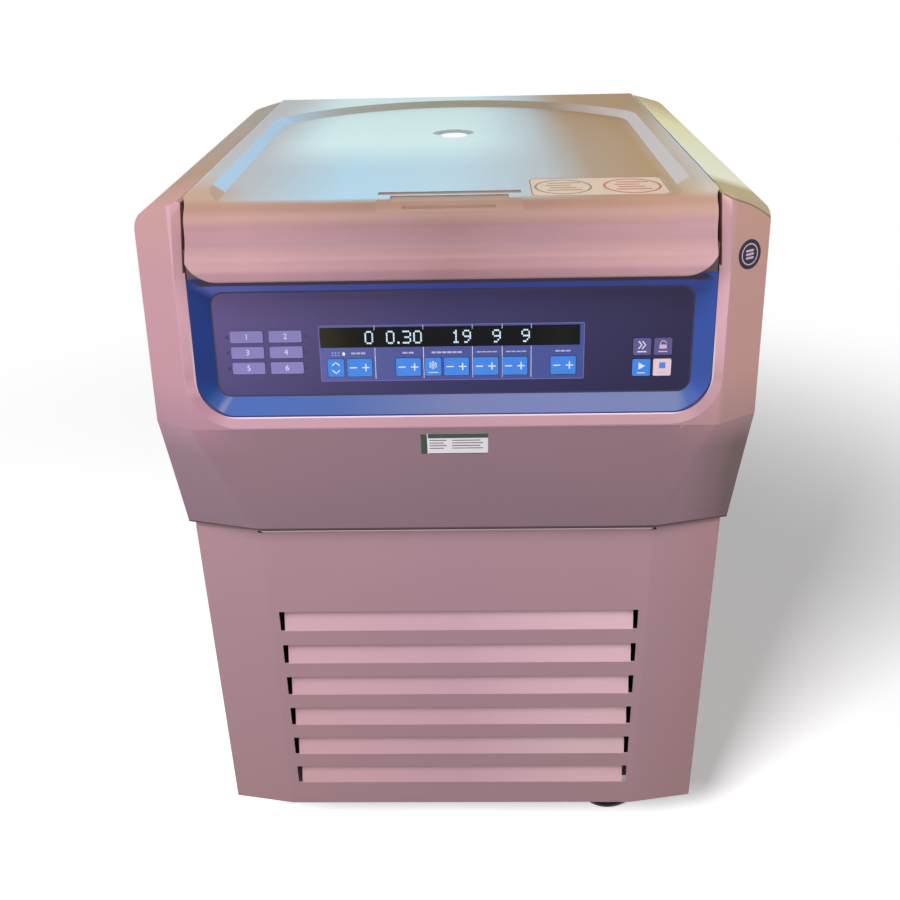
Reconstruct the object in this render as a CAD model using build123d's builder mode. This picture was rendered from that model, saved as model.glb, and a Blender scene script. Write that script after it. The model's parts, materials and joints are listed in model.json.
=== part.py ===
"""Floor-standing refrigerated microplate centrifuge, built as separate parts.

Millimetres. +Z is up, the front faces -Y, and the origin is on the floor at the middle of the footprint.
The rotor axis is the line x = 0, y = 0.
"""

import math
import os

from build123d import *

os.makedirs("parts", exist_ok=True)

# ------------------------------------------------------------------ driving dimensions
# Shared clearances
seat_gap = 0.2  # between parts that rest on or against each other
running_clearance = 0.05  # radial, shaft in bore
key_gap = 0.4  # round each key

# Lower cabinet
cabinet_half_width = 300.0
cabinet_bottom_z = 70.0
cabinet_top_z = 492.4
cabinet_rear_y = 318.0
sheet = 1.5  # steel sheet of every lower panel
cover_front_y = -296.5
cover_flat_half_width = 223.0
cover_wing_drop = 13.5  # how far the angled wings fall back at the corner
cover_return = 20.0  # side return of the front cover
cover_top_flange = 32.0
panel_fold = 15.0  # folded edges of the side panels
relief_notch = 3.0
louvre_count = 6
louvre_pitch = 49.0
louvre_top_z = 379.0
louvre_height = 28.0
louvre_half_length = 213.0
louvre_lean = 8.0  # how far the upper edge of a flap leans inward
louvre_end_gap = 5.0

# Frame
tray_z = 100.0
tray_thickness = 3.0
tray_wall = 2.0
tray_wall_height = 30.0
tray_front_y = -279.0
post_size = 30.0
machine_plate_thickness = 6.0
motor_opening_radius = 96.0

# Upper housing
housing_half_width = 318.0
housing_bottom_z = 499.0
housing_rear_y = 335.0
housing_wall = 4.0
housing_top_z = 868.5
housing_seam_y = -250.0
seam_gap = 0.4
crease_z = 637.0
crease_y = -330.0
crease_half_width = 275.0
crease_round = 10.0
front_lean = 7.5  # degrees, the face above the crease
pillar_drop = 28.0  # how far a pillar falls back from the crease to the side wall
apron_bottom_y = -306.0
apron_half_width = 306.5
apron_flat_half_width = 223.0
apron_drop = 21.0
apron_round = 50.0
shoulder_z = 852.0  # height at which shoulder and side wall would meet
shoulder_round = 24.0
rear_corner_round = 30.0
rear_top_round = 18.0
base_flange = 24.0  # inward flange on which the housing stands

# Well of the lid
well_half_width = 264.5
well_rear_y = 313.0
well_wall = 3.0
deck_z = 821.0  # top of the deck below the lid
deck_thickness = 6.0
deck_front_half_width = 263.8
deck_step_y = -280.0
deck_front_y = -303.0
deck_skirt = 3.0

# Console opening, measured on the leaning front plane
ring_half_width = 276.0
ring_bottom_v = 1.5
ring_corner = 52.0
ring_depth = 8.0
ring_back = 14.0
opening_half_width = 266.0
opening_bottom_v = 11.0
opening_corner = 38.0
opening_top_v = 330.0
pillar_lean_v = 157.0  # above this the pillars lean towards each other
pillar_lean = 3.8  # degrees
pillar_round = 8.0  # inner upper corner of a pillar

# Control bezel and panel, on the same plane
bezel_top_v = 157.0
bezel_land = 1.5
bezel_back = 21.0
panel_depth = 15.0  # panel face behind the front plane
panel_half_width = 245.5
panel_bottom_v = 31.8
panel_top_v = 142.2
panel_corner = 14.0
panel_thickness = 3.0
panel_ledge = 7.0

# Display window
window_half_width = 133.0
window_bottom_v = 83.0
window_top_v = 103.6
window_middle_u = -2.5
window_thickness = 2.0

# Keys
key_thickness = 2.4
key_height = 0.6  # stands proud of the panel
key_corner = 1.6
key_row_v = 61.5
key_row_height = 19.0
pad_width = 26.0
narrow_key_width = 17.0
toggle_u = -120.6
speed_u = -96.0
time_u = -45.5
precool_u = -19.9
temperature_u = 4.2
acceleration_u = 34.4
deceleration_u = 64.4
bucket_u = 114.1
program_columns = (-211.2, -171.2)
program_rows = (95.4, 78.8, 62.2)
program_key_width = 34.0
program_key_height = 12.4
action_columns = (194.3, 215.7)
action_rows = (80.0, 57.9)
action_key_width = 18.4
action_key_height = 17.8

# Lid
lid_top_z = 874.0
lid_half_width = 262.5
lid_skirt_z = 837.0
lid_rear_y = 310.0
lid_wall = 3.0
lid_roof = 11.0
lid_brow_y = -274.0  # where the top begins to fall towards the roll
lid_brow_round = 60.0
lid_roll_y = -311.0
lid_roll_drop = 16.0
lid_roll_radius = 24.0
lid_cove_depth = 18.0
lid_cove_length = 20.0
lid_pillar_gap = 3.0
lip_bottom_z = 797.0
lip_front_y = -335.0
lip_half_width = 255.3
lip_corner = 40.0
lip_thickness = 13.0
lip_round = 3.0
lip_bulge_z = 11.0  # above the lip's lower edge
lip_bulge_round = 10.0
lip_band_z = 22.0
lip_band_inset = 4.0
lip_band_round = 12.0
lip_hollow_z = 36.0
lip_hollow_inset = 6.0  # from the rolled edge
lip_hollow_round = 40.0
lip_back_slope = 9.0
lip_wall = 12.0
lid_skirt_corner = 20.0
lid_edge_round = 8.0
hinge_y = 300.0
hinge_z = 863.0
hinge_x = 150.0
hinge_boss_radius = 7.0
hinge_pin_radius = 4.0
hinge_arm_width = 8.0
hinge_ear_width = 6.0
hinge_ear_foot_front = 16.0
hinge_ear_foot_rear = 6.0
hinge_ear_neck = 5.0
hinge_arm_length = 60.0
hinge_arm_depth = 12.0
hinge_arm_end_depth = 6.0
hinge_arm_step = 24.0
hinge_pad_half_width = 16.0
hinge_pad_thickness = 4.0
hinge_side_gap = 0.3
hinge_pocket_clearance = 1.5
recess_depth = 8.0
recess_bevel = 12.0
recess_half_width = 239.5
recess_rear_y = 265.0
recess_rear_radius = 290.0
recess_corner = 60.0
grip_half_widths = (71.0, 58.0, 45.0)
grip_rear_ys = (-261.0, -277.0, -302.0)
grip_front_ys = (-274.0, -300.0, -306.0)
grip_depths = (1.5, 1.5, 6.5)  # below the floor of the recess
viewport_y = 45.0
viewport_radius = 17.0
viewport_dish_radius = 25.0
viewport_dish_depth = 1.2
viewport_glass_radius = 22.0
viewport_glass_thickness = 3.0

# Lid liner
liner_half_width = 238.0
liner_front_y = -262.0
liner_rear_y = 250.0
liner_thickness = 3.0
standoff_inset = 24.0
standoff_end = 30.0
seal_land_overlap = 2.0
bar_cheek_front = 6.0
stud_block_inset = 8.0
stud_block_half = 5.0
stud_block_front = 12.0
stud_block_rear = 8.0
seal_land_height = 2.6
liner_window_radius = 25.0
standoff_radius = 8.0

# Chamber
bowl_radius = 225.0
bowl_wall = 1.5
bowl_floor_z = 625.0
bowl_corner = 40.0
bowl_flange_radius = 246.0
bowl_centre_hole = 42.0
deck_hole_radius = 230.0
gasket_inner_radius = 229.0
gasket_outer_radius = 243.0
gasket_base = 3.0
gasket_lip_inner = 1.0  # inside the middle of the base
gasket_lip_outer = 3.0
coil_tube_radius = 4.5
coil_turns = 7
coil_pitch = 19.0
coil_first_z = 687.0
coil_riser_clearance = 1.0
coil_port_height = 14.0
coil_port_wall = 3.0
coil_port_sink = 40.0
shell_inner_radius = 238.5
shell_outer_radius = 268.0
shell_clearance = 2.0  # to the flange of the housing
shell_floor_thickness = 24.0
shell_skirt_wall = 26.0
shell_centre_hole = 64.0

# Drive
motor_radius = 84.0
motor_bottom_z = 397.0
motor_shoulder_z = 581.0
motor_nose_radius = 36.0
motor_round = 8.0
motor_collar = 18.0  # round the nose
motor_collar_height = 12.0
motor_rib_count = 24
motor_rib_height = 5.0
motor_rib_width = 3.0
motor_rib_end = 15.0
motor_top_z = 643.0
motor_flange_radius = 120.0
motor_flange_thickness = 7.0
mount_circle_radius = 108.0
mount_radius = 11.0
mount_height = 14.0
mount_count = 3
mount_groove_radius = 1.6
mount_groove_offset = 3.5
shaft_radius = 9.0
shaft_collar = 7.0
shaft_collar_gap = 1.0
shaft_bottom_z = 445.0

# Rotor
pivot_x = 118.0
pivot_z = 725.0
arm_gap_half = 77.0  # half the clear distance between the two side arms
arm_thickness = 11.0
arm_height = 24.0
arm_bottom_z = 709.0
hub_radius = 38.0
hub_bottom_z = 675.0
hub_top_z = 737.0
trunnion_radius = 5.0
trunnion_inner_y = 66.0
beam_half_width = 34.0
beam_round = 8.0
arm_round = 6.0
arm_end = 12.0  # beyond the trunnions
arm_end_rise = 6.0
arm_middle_drop = 8.0
arm_middle_half = 60.0
lightening_y = 58.0
lightening_radius = 12.0
knob_radius = 24.0
knob_height = 26.0
knob_base_height = 4.0
knob_round = 6.0
knob_grip_count = 8
knob_grip_radius = 6.0
knob_grip_offset = 3.0

# Microplate carriers
carrier_half_width = 46.0
carrier_half_length = 71.0
carrier_wall = 2.0
carrier_depth = 60.0
carrier_rise = 9.0
carrier_floor = 3.0
carrier_boss_radius = 9.0
carrier_boss_reach = 75.5
carrier_corner = 6.0
carrier_window_end = 22.0
carrier_window_sill = 26.0

# Lid struts
strut_x = 252.0
strut_base_y = 240.0
strut_base_z = 665.0
strut_top_y = 250.0
strut_top_z = 849.0
strut_cylinder_radius = 10.0
strut_cylinder_length = 120.0
strut_rod_radius = 4.0
strut_eye_radius = 9.0
strut_eye_half_width = 5.0
strut_pin_radius = 5.0
strut_rod_start = 30.0
strut_bore_start = 18.0
strut_stud_gap = 0.5
strut_pin_overhang = 2.0
strut_slot_half_width = 11.0
strut_slot_front = 6.0
strut_slot_rear = 26.0

# Latch
latch_x = 180.0
latch_y = -280.0
latch_z = 797.0
latch_shaft_radius = 5.0
latch_hook_width = 12.0
latch_arm = 8.0
latch_rest_angle = 12.0  # degrees the hooks stand open at rest
latch_bar_y = -269.0
latch_bar_z = 845.0
latch_bar_radius = 3.0
latch_nose_gap = 1.2
latch_nose_height = 6.0
latch_cheek_gap = 3.0
latch_cheek = 3.0
latch_ear_width = 5.0
latch_ear_half = 7.0
latch_slot_side = 2.0
latch_slot_front = 15.0
latch_slot_rear = 9.0
latch_boss = 4.0
latch_shaft_overhang = 4.0
latch_nose_slope = 2.0

# Casters
wheel_radius = 37.5
wheel_width = 26.0
wheel_hub_radius = 12.0
wheel_tread = 6.0
wheel_round = 4.0
wheel_dish = 3.0
axle_radius = 4.0
front_caster_x = 226.0
front_caster_y = -228.0
rear_caster_x = 222.0
rear_caster_y = 250.0
caster_trail = 25.0
fork_leg = 3.0
fork_side_gap = 1.5
fork_crown_z = 84.0
fork_toe = 12.0  # the crown beyond the axle
fork_heel = 16.0  # the crown beyond the stem
fork_leg_half = 10.0
fork_leg_round = 7.0
axle_overhang = 2.0
stem_radius = 8.0
stem_nut_radius = 15.0
stem_nut_height = 9.0
washer_radius = 26.0

# Cooling
condenser_half_width = 190.0
condenser_front_y = -272.0
condenser_depth = 36.0
condenser_top_z = 385.0
fin_groove_width = 2.0
fin_groove_depth = 6.0
fin_groove_count = 18
fin_edge = 10.0
tube_bend_count = 6
tube_bend_radius = 12.0
tube_radius = 4.0
tube_bend_depth = 18.0  # behind the front of the fins
tube_bend_edge = 15.0
fan_z = 245.0
fan_radius = 104.0
fan_ring_gap = 5.0
fan_ring_wall = 3.0
fan_ring_depth = 40.0
fan_pocket = 4.0  # sunk into the rear of the fins
fan_strap_half_width = 12.0
fan_strap_thickness = 4.0
fan_strap_overhang = 20.0
fan_hub_radius = 28.0
fan_blade_count = 6
fan_blade_thickness = 2.4
fan_depth = 24.0
fan_front_y = -226.0
fan_motor_radius = 30.0
fan_motor_length = 46.0
fan_motor_gap = 6.0
fan_bore_depth = 30.0
fan_shaft_end_gap = 2.0
fan_hub_round = 6.0
fan_blade_pitch = 32.0  # degrees
fan_blade_chord = 40.0
fan_blade_root = 2.0
fan_shaft_radius = 4.0
compressor_x = -120.0
compressor_y = 120.0
compressor_radius = 84.0
compressor_base_z = 118.0
compressor_height = 186.0
compressor_shoulder = 34.0
compressor_foot_round = 12.0
compressor_seam_share = 0.55
compressor_seam_height = 5.0
compressor_seam_overhang = 4.0
compressor_plate_inset = 6.0
compressor_plate_thickness = 5.0
compressor_foot_radius = 12.0
compressor_foot_inset = 14.0

# Rear services
inlet_x = 210.0
inlet_z = 150.0
inlet_half_width = 16.0
inlet_half_height = 13.0
inlet_depth = 24.0
rocker_x = 150.0
rocker_half_width = 9.0
rocker_half_height = 12.6
rocker_angle = 7.0  # degrees to either side of level
rocker_face = 2.5  # middle of the face from the pivot
rocker_tail = 4.5
rocker_tail_half = 5.5
rocker_pin_radius = 1.5
rocker_pivot_depth = 1.5  # behind the rear panel's outer face
switch_gap = 0.8  # round the rocker inside its housing
switch_wall = 2.0
switch_depth = 14.0
inlet_flange = 5.0
inlet_flange_thickness = 2.0
inlet_wall = 3.0
inlet_floor = 4.0
inlet_pin_half_width = 1.0
inlet_pin_half_height = 2.0
inlet_pin_recess = 6.0
inlet_pins = ((-7.0, -2.0), (0.0, 3.0), (7.0, -2.0))
vent_rows = 14
vent_pitch = 16.0
vent_half_length = 110.0
vent_slot = 6.0
vent_first_z = 140.0
vent_x = -120.0

# Screws
screw_head_radius = 5.0
screw_head_height = 2.2
screw_shank_radius = 2.0
screw_length = 14.0
screw_hole_clearance = 0.1
screw_heights = (118.0, 465.0)
side_screw_ys = (-253.0, 297.0)
rear_screw_x = 275.0


# ------------------------------------------------------------------ shared helpers
def block(x0, x1, y0, y1, z0, z1, mode=Mode.ADD):
    """A rectangular block between two opposite corners."""
    with Locations(((x0 + x1) / 2, (y0 + y1) / 2, (z0 + z1) / 2)):
        Box(x1 - x0, y1 - y0, z1 - z0, mode=mode)


def drum(x, y, z0, z1, radius, mode=Mode.ADD):
    """An upright cylinder between two heights."""
    with Locations((x, y, (z0 + z1) / 2)):
        Cylinder(radius, z1 - z0, mode=mode)


def bar(start, end, radius, mode=Mode.ADD):
    """A round bar from one point to another."""
    direction = Vector(*end) - Vector(*start)
    with Locations(Plane(origin=start, z_dir=direction)):
        Cylinder(
            radius,
            direction.length,
            align=(Align.CENTER, Align.CENTER, Align.MIN),
            mode=mode,
        )


def outline(plane, *corners):
    """A closed outline of (a, b) corners on a plane; a third value rounds that corner."""
    with BuildSketch(plane) as sketch:
        with BuildLine():
            Polyline(*[corner[:2] for corner in corners], close=True)
        make_face()
        for corner in corners:
            if len(corner) == 3:
                nearest = sketch.vertices().sort_by_distance((corner[0], corner[1], 0))[0]
                fillet(nearest, corner[2])
    return sketch.sketch


def finish(part, name):
    """Labels a finished part and writes it."""
    part.label = name
    export_step(part, f"parts/{name}.step")


front_plane = Plane(
    origin=(0, crease_y, crease_z),
    x_dir=(1, 0, 0),
    z_dir=(0, -math.cos(math.radians(front_lean)), math.sin(math.radians(front_lean))),
)


def console_point(u, v, depth):
    """The place of a point given on the leaning front plane."""
    return front_plane.from_local_coords((u, v, -depth))


def upright_shape(half_width, bottom, top, corner, depth):
    """An outline on the front plane, square at the top and round at its two lower corners."""
    return outline(
        front_plane.offset(-depth),
        (-half_width, bottom, corner),
        (half_width, bottom, corner),
        (half_width, top),
        (-half_width, top),
    )


def pillar_half_width(half_width, v):
    """Half the gap between the pillars at a height on the front plane."""
    return half_width - math.tan(math.radians(pillar_lean)) * (v - pillar_lean_v)


def opening_shape(half_width, bottom, corner, depth):
    """The console opening, carried on upward between the leaning pillars."""
    top_half_width = pillar_half_width(half_width, opening_top_v)
    return outline(
        front_plane.offset(-depth),
        (-half_width, bottom, corner),
        (half_width, bottom, corner),
        (half_width, pillar_lean_v),
        (top_half_width, opening_top_v),
        (-top_half_width, opening_top_v),
        (-half_width, pillar_lean_v),
    )


def pad_shape(u0, u1, v0, v1, corner, depth):
    """A rounded rectangle on the front plane."""
    return outline(
        front_plane.offset(-depth),
        (u0, v0, corner),
        (u1, v0, corner),
        (u1, v1, corner),
        (u0, v1, corner),
    )


def screw_axes():
    """Outer face point and inward direction of every panel screw."""
    axes = []
    for side in (-1, 1):
        for z in screw_heights:
            for y in side_screw_ys:
                axes.append(((side * cabinet_half_width, y, z), (-side, 0, 0)))
            axes.append(((side * rear_screw_x, cabinet_rear_y, z), (0, -1, 0)))
    return axes


def screw_holes():
    """Clearance holes of all panel screws, cut from the part being built."""
    for face_point, inward in screw_axes():
        start = Vector(*face_point) - Vector(*inward)
        end = Vector(*face_point) + Vector(*inward) * (screw_length + screw_head_height)
        bar(start, end, screw_shank_radius + screw_hole_clearance, Mode.SUBTRACT)


# ------------------------------------------------------------------ upper housing form
def front_line(z):
    """How far forward the middle of the housing's front stands at a height."""
    if z >= crease_z:
        return crease_y + math.tan(math.radians(front_lean)) * (z - crease_z)
    share = (crease_z - z) / (crease_z - housing_bottom_z)
    return crease_y + share * (apron_bottom_y - crease_y)


def front_section(z, inset):
    """Plan of the housing's front at a height: flat in the middle, falling back to both sides."""
    low = max(0.0, (crease_z - z) / (crease_z - housing_bottom_z))
    flat = crease_half_width + low * (apron_flat_half_width - crease_half_width)
    side = housing_half_width + low * (apron_half_width - housing_half_width)
    drop = pillar_drop + low * (apron_drop - pillar_drop)
    turn = crease_round + low * (apron_round - crease_round)
    wide = housing_half_width + post_size
    front = front_line(z) + inset
    wide_y = front + drop / (side - flat) * (wide - flat)
    back = housing_rear_y + post_size
    return outline(
        Plane.XY.offset(z),
        (-wide, wide_y),
        (-flat, front, turn),
        (flat, front, turn),
        (wide, wide_y),
        (wide, back),
        (-wide, back),
    )


def side_half_width(z):
    """Half the housing's width at a height below the crease, carried on past its lower edge."""
    share = (crease_z - z) / (crease_z - housing_bottom_z)
    return housing_half_width + share * (apron_half_width - housing_half_width)


def housing_form(inset, bottom):
    """The closed outer form of the upper housing, moved inward by an inset."""
    low_x = side_half_width(bottom) - inset
    mid_x = housing_half_width - inset
    rear = housing_rear_y - inset
    reach = rear - crease_y + post_size
    with BuildPart() as form:
        extrude(
            outline(
                Plane.XZ.offset(-rear),
                (low_x, bottom),
                (mid_x, crease_z),
                (mid_x, shoulder_z - inset, shoulder_round - inset),
                (well_half_width, housing_top_z - inset),
                (-well_half_width, housing_top_z - inset),
                (-mid_x, shoulder_z - inset, shoulder_round - inset),
                (-mid_x, crease_z),
                (-low_x, bottom),
            ),
            amount=reach,
        )
        with BuildPart(mode=Mode.INTERSECT):
            extrude(
                outline(
                    Plane.XY.offset(bottom - post_size),
                    (-mid_x, -reach),
                    (mid_x, -reach),
                    (mid_x, rear, rear_corner_round - inset),
                    (-mid_x, rear, rear_corner_round - inset),
                ),
                amount=housing_top_z,
            )
        with BuildPart(mode=Mode.INTERSECT):
            extrude(
                outline(
                    Plane.YZ,
                    (-reach, bottom - post_size),
                    (rear, bottom - post_size),
                    (rear, housing_top_z - inset, rear_top_round - inset),
                    (-reach, housing_top_z - inset),
                ),
                amount=2 * housing_half_width,
                both=True,
            )
        with BuildPart(mode=Mode.INTERSECT):
            loft(
                [
                    front_section(bottom - post_size, inset),
                    front_section(crease_z, inset),
                    front_section(housing_top_z + post_size, inset),
                ],
                ruled=True,
            )
    return form.part


housing_outer = housing_form(0.0, housing_bottom_z)
housing_inner = housing_form(housing_wall, housing_bottom_z - post_size)

# ------------------------------------------------------------------ lower cabinet
inner_half_width = cabinet_half_width - sheet
frame_half_width = inner_half_width - seat_gap
frame_rear_y = cabinet_rear_y - 2 * sheet - 2 * seat_gap
cover_corner_y = cover_front_y + cover_wing_drop
cover_return_y = cover_corner_y + cover_return
louvre_tops = [louvre_top_z - louvre_pitch * i for i in range(louvre_count)]


def cover_plan(plane, inset):
    """Plan of the space behind the front cover, as far back as its side returns."""
    half = cabinet_half_width - inset
    return outline(
        plane,
        (-half, cover_return_y),
        (-half, cover_corner_y + inset),
        (-cover_flat_half_width, cover_front_y + inset),
        (cover_flat_half_width, cover_front_y + inset),
        (half, cover_corner_y + inset),
        (half, cover_return_y),
    )


# Front cover: one bent sheet with six louvres and a folded top edge
with BuildPart() as lower_front_cover:
    cover_height = cabinet_top_z - cabinet_bottom_z
    extrude(cover_plan(Plane.XY.offset(cabinet_bottom_z), 0.0), amount=cover_height)
    extrude(
        cover_plan(Plane.XY.offset(cabinet_bottom_z), sheet),
        amount=cover_height,
        mode=Mode.SUBTRACT,
    )
    block(
        -cover_flat_half_width + relief_notch,
        cover_flat_half_width - relief_notch,
        cover_front_y,
        cover_front_y + cover_top_flange,
        cabinet_top_z - sheet,
        cabinet_top_z,
    )
    for side in (-1, 1):
        notch_x = side * cover_flat_half_width
        block(
            notch_x - relief_notch,
            notch_x + relief_notch,
            cover_front_y - sheet,
            cover_front_y + 2 * sheet,
            cabinet_top_z - relief_notch,
            cabinet_top_z,
            Mode.SUBTRACT,
        )
    for top in louvre_tops:
        foot = top - louvre_height
        block(
            -louvre_half_length,
            louvre_half_length,
            cover_front_y - sheet,
            cover_front_y + 2 * sheet,
            foot,
            top,
            Mode.SUBTRACT,
        )
        lean_y = cover_front_y + louvre_lean
        extrude(
            outline(
                Plane.YZ.offset(-louvre_half_length + louvre_end_gap),
                (cover_front_y, foot - sheet),
                (cover_front_y, foot),
                (lean_y, top - sheet),
                (lean_y + sheet, top - sheet),
                (cover_front_y + sheet, foot - sheet),
            ),
            amount=2 * (louvre_half_length - louvre_end_gap),
        )
finish(lower_front_cover.part, "lower_front_cover")


# Side panels: flat sheets with a folded lower edge and a folded rear edge
def side_panel(side):
    """One side panel of the lower cabinet; side is -1 for left and 1 for right."""
    outer = side * cabinet_half_width
    inner = side * inner_half_width
    low_edge = side * (inner_half_width - panel_fold)
    front = cover_return_y + seam_gap
    rear = cabinet_rear_y - sheet - seat_gap
    with BuildPart() as panel:
        block(min(outer, inner), max(outer, inner), front, rear, cabinet_bottom_z, cabinet_top_z)
        block(
            min(low_edge, inner),
            max(low_edge, inner),
            front,
            rear,
            cabinet_bottom_z,
            cabinet_bottom_z + sheet,
        )
        block(
            min(low_edge, inner),
            max(low_edge, inner),
            rear - sheet,
            rear,
            cabinet_bottom_z,
            cabinet_top_z,
        )
        screw_holes()
    return panel.part


finish(side_panel(-1), "left_side_panel")
finish(side_panel(1), "right_side_panel")

# Rear panel with its vent and the cut-outs for the inlet and the main switch
rocker_space_half_width = rocker_half_width + switch_gap
rocker_space_half_height = math.hypot(rocker_half_height, rocker_face + switch_gap) + switch_gap
switch_half_width = rocker_space_half_width + switch_wall
switch_half_height = rocker_space_half_height + switch_wall
with BuildPart() as lower_rear_panel:
    rear_sheet_y = cabinet_rear_y - sheet
    block(
        -cabinet_half_width,
        cabinet_half_width,
        rear_sheet_y,
        cabinet_rear_y,
        cabinet_bottom_z,
        cabinet_top_z,
    )
    for row in range(vent_rows):
        slot_z = vent_first_z + row * vent_pitch
        block(
            vent_x - vent_half_length,
            vent_x + vent_half_length,
            rear_sheet_y - sheet,
            cabinet_rear_y + sheet,
            slot_z,
            slot_z + vent_slot,
            Mode.SUBTRACT,
        )
    block(
        inlet_x - inlet_half_width - seat_gap,
        inlet_x + inlet_half_width + seat_gap,
        rear_sheet_y - sheet,
        cabinet_rear_y + sheet,
        inlet_z - inlet_half_height - seat_gap,
        inlet_z + inlet_half_height + seat_gap,
        Mode.SUBTRACT,
    )
    block(
        rocker_x - switch_half_width - seat_gap,
        rocker_x + switch_half_width + seat_gap,
        rear_sheet_y - sheet,
        cabinet_rear_y + sheet,
        inlet_z - switch_half_height - seat_gap,
        inlet_z + switch_half_height + seat_gap,
        Mode.SUBTRACT,
    )
    screw_holes()
finish(lower_rear_panel.part, "lower_rear_panel")

# Welded frame: tray, four posts and the machine plate that carries the drive and the housing
bowl_outer_radius = bowl_radius + bowl_wall
coil_radius = bowl_outer_radius + seat_gap + coil_tube_radius
riser_offset = coil_radius * math.sqrt(0.5)
machine_plate_top = housing_bottom_z - seat_gap
machine_plate_bottom = machine_plate_top - machine_plate_thickness
tray_top = tray_z + tray_thickness
with BuildPart() as base_frame:
    block(
        -frame_half_width,
        frame_half_width,
        tray_front_y,
        frame_rear_y,
        tray_z,
        tray_z + tray_wall_height,
    )
    block(
        -frame_half_width + tray_wall,
        frame_half_width - tray_wall,
        tray_front_y + tray_wall,
        frame_rear_y - tray_wall,
        tray_top,
        tray_z + tray_wall_height,
        Mode.SUBTRACT,
    )
    for side in (-1, 1):
        post_outer = side * (frame_half_width - tray_wall)
        post_inner = side * (frame_half_width - tray_wall - post_size)
        for post_y in (tray_front_y + tray_wall, frame_rear_y - tray_wall - post_size):
            block(
                min(post_outer, post_inner),
                max(post_outer, post_inner),
                post_y,
                post_y + post_size,
                tray_top,
                machine_plate_bottom,
            )
    block(
        -frame_half_width,
        frame_half_width,
        tray_front_y,
        frame_rear_y,
        machine_plate_bottom,
        machine_plate_top,
    )
    drum(0, 0, machine_plate_bottom, machine_plate_top, motor_opening_radius, Mode.SUBTRACT)
    for side in (-1, 1):
        for caster_x, caster_y in (
            (front_caster_x, front_caster_y),
            (rear_caster_x, rear_caster_y),
        ):
            drum(
                side * caster_x,
                caster_y,
                tray_z,
                tray_top,
                stem_radius + running_clearance,
                Mode.SUBTRACT,
            )
    drum(
        -riser_offset,
        riser_offset,
        machine_plate_bottom,
        machine_plate_top,
        2 * coil_tube_radius,
        Mode.SUBTRACT,
    )
    screw_holes()
finish(base_frame.part, "base_frame")


# ------------------------------------------------------------------ casters
def caster_fork(x, y, heading):
    """Fork, stem and axle; heading is the direction, in degrees about +Z, in which the wheel trails."""
    wheel_x = x + caster_trail * math.cos(math.radians(heading))
    wheel_y = y + caster_trail * math.sin(math.radians(heading))
    leg_in = wheel_width / 2 + fork_side_gap
    leg_out = leg_in + fork_leg
    crown_top = tray_z - seat_gap
    trail_plane = Plane(
        origin=(wheel_x, wheel_y, wheel_radius),
        x_dir=(-math.cos(math.radians(heading)), -math.sin(math.radians(heading)), 0),
        z_dir=(-math.sin(math.radians(heading)), math.cos(math.radians(heading)), 0),
    )
    crown_rise = fork_crown_z - wheel_radius
    with BuildPart() as fork:
        for leg in (leg_in, -leg_out):
            extrude(
                outline(
                    trail_plane.offset(leg),
                    (-fork_leg_half, -fork_leg_half, fork_leg_round),
                    (fork_leg_half, -fork_leg_half, fork_leg_round),
                    (caster_trail + fork_heel, crown_rise + fork_leg),
                    (-fork_toe, crown_rise + fork_leg),
                ),
                amount=fork_leg,
            )
        extrude(
            outline(
                trail_plane.offset(-leg_out),
                (-fork_toe, crown_rise),
                (caster_trail + fork_heel, crown_rise),
                (caster_trail + fork_heel, crown_rise + fork_leg),
                (-fork_toe, crown_rise + fork_leg),
            ),
            amount=2 * leg_out,
        )
        drum(x, y, fork_crown_z + fork_leg, crown_top, washer_radius)
        drum(x, y, fork_crown_z, tray_top + stem_nut_height, stem_radius)
        drum(x, y, tray_top + seat_gap, tray_top + stem_nut_height, stem_nut_radius)
        axle_start = trail_plane.from_local_coords((0, 0, -leg_out - axle_overhang))
        axle_end = trail_plane.from_local_coords((0, 0, leg_out + axle_overhang))
        bar(axle_start, axle_end, axle_radius)
    return fork.part


def caster_wheel(x, y, heading):
    """Rubber-tyred wheel on the fork's axle."""
    wheel_x = x + caster_trail * math.cos(math.radians(heading))
    wheel_y = y + caster_trail * math.sin(math.radians(heading))
    wheel_plane = Plane(
        origin=(wheel_x, wheel_y, wheel_radius),
        z_dir=(math.sin(math.radians(heading)), -math.cos(math.radians(heading)), 0),
    )
    half = wheel_width / 2
    with BuildPart() as wheel:
        with Locations(wheel_plane):
            Cylinder(wheel_radius, wheel_width)
        fillet(wheel.edges().filter_by(GeomType.CIRCLE), wheel_round)
        for end in (-half, half - wheel_dish):
            with Locations(wheel_plane.offset(end + wheel_dish / 2)):
                Cylinder(wheel_radius - wheel_tread, wheel_dish, mode=Mode.SUBTRACT)
        with Locations(wheel_plane):
            Cylinder(wheel_hub_radius, wheel_width)
            Cylinder(axle_radius + running_clearance, 2 * wheel_width, mode=Mode.SUBTRACT)
    return wheel.part


casters = {
    "front_left": (-front_caster_x, front_caster_y, 90.0),
    "front_right": (front_caster_x, front_caster_y, 180.0),
    "rear_left": (-rear_caster_x, rear_caster_y, 90.0),
    "rear_right": (rear_caster_x, rear_caster_y, 90.0),
}
for place, (caster_at_x, caster_at_y, heading) in casters.items():
    finish(caster_wheel(caster_at_x, caster_at_y, heading), f"wheel_{place}")
    if place.startswith("front"):
        finish(caster_fork(caster_at_x, caster_at_y, heading), f"caster_fork_{place}")

# The two rear forks are fixed, one solid each
rear_caster_forks = Compound(
    children=[
        caster_fork(-rear_caster_x, rear_caster_y, 90.0),
        caster_fork(rear_caster_x, rear_caster_y, 90.0),
    ]
)
finish(rear_caster_forks, "rear_caster_forks")

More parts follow.
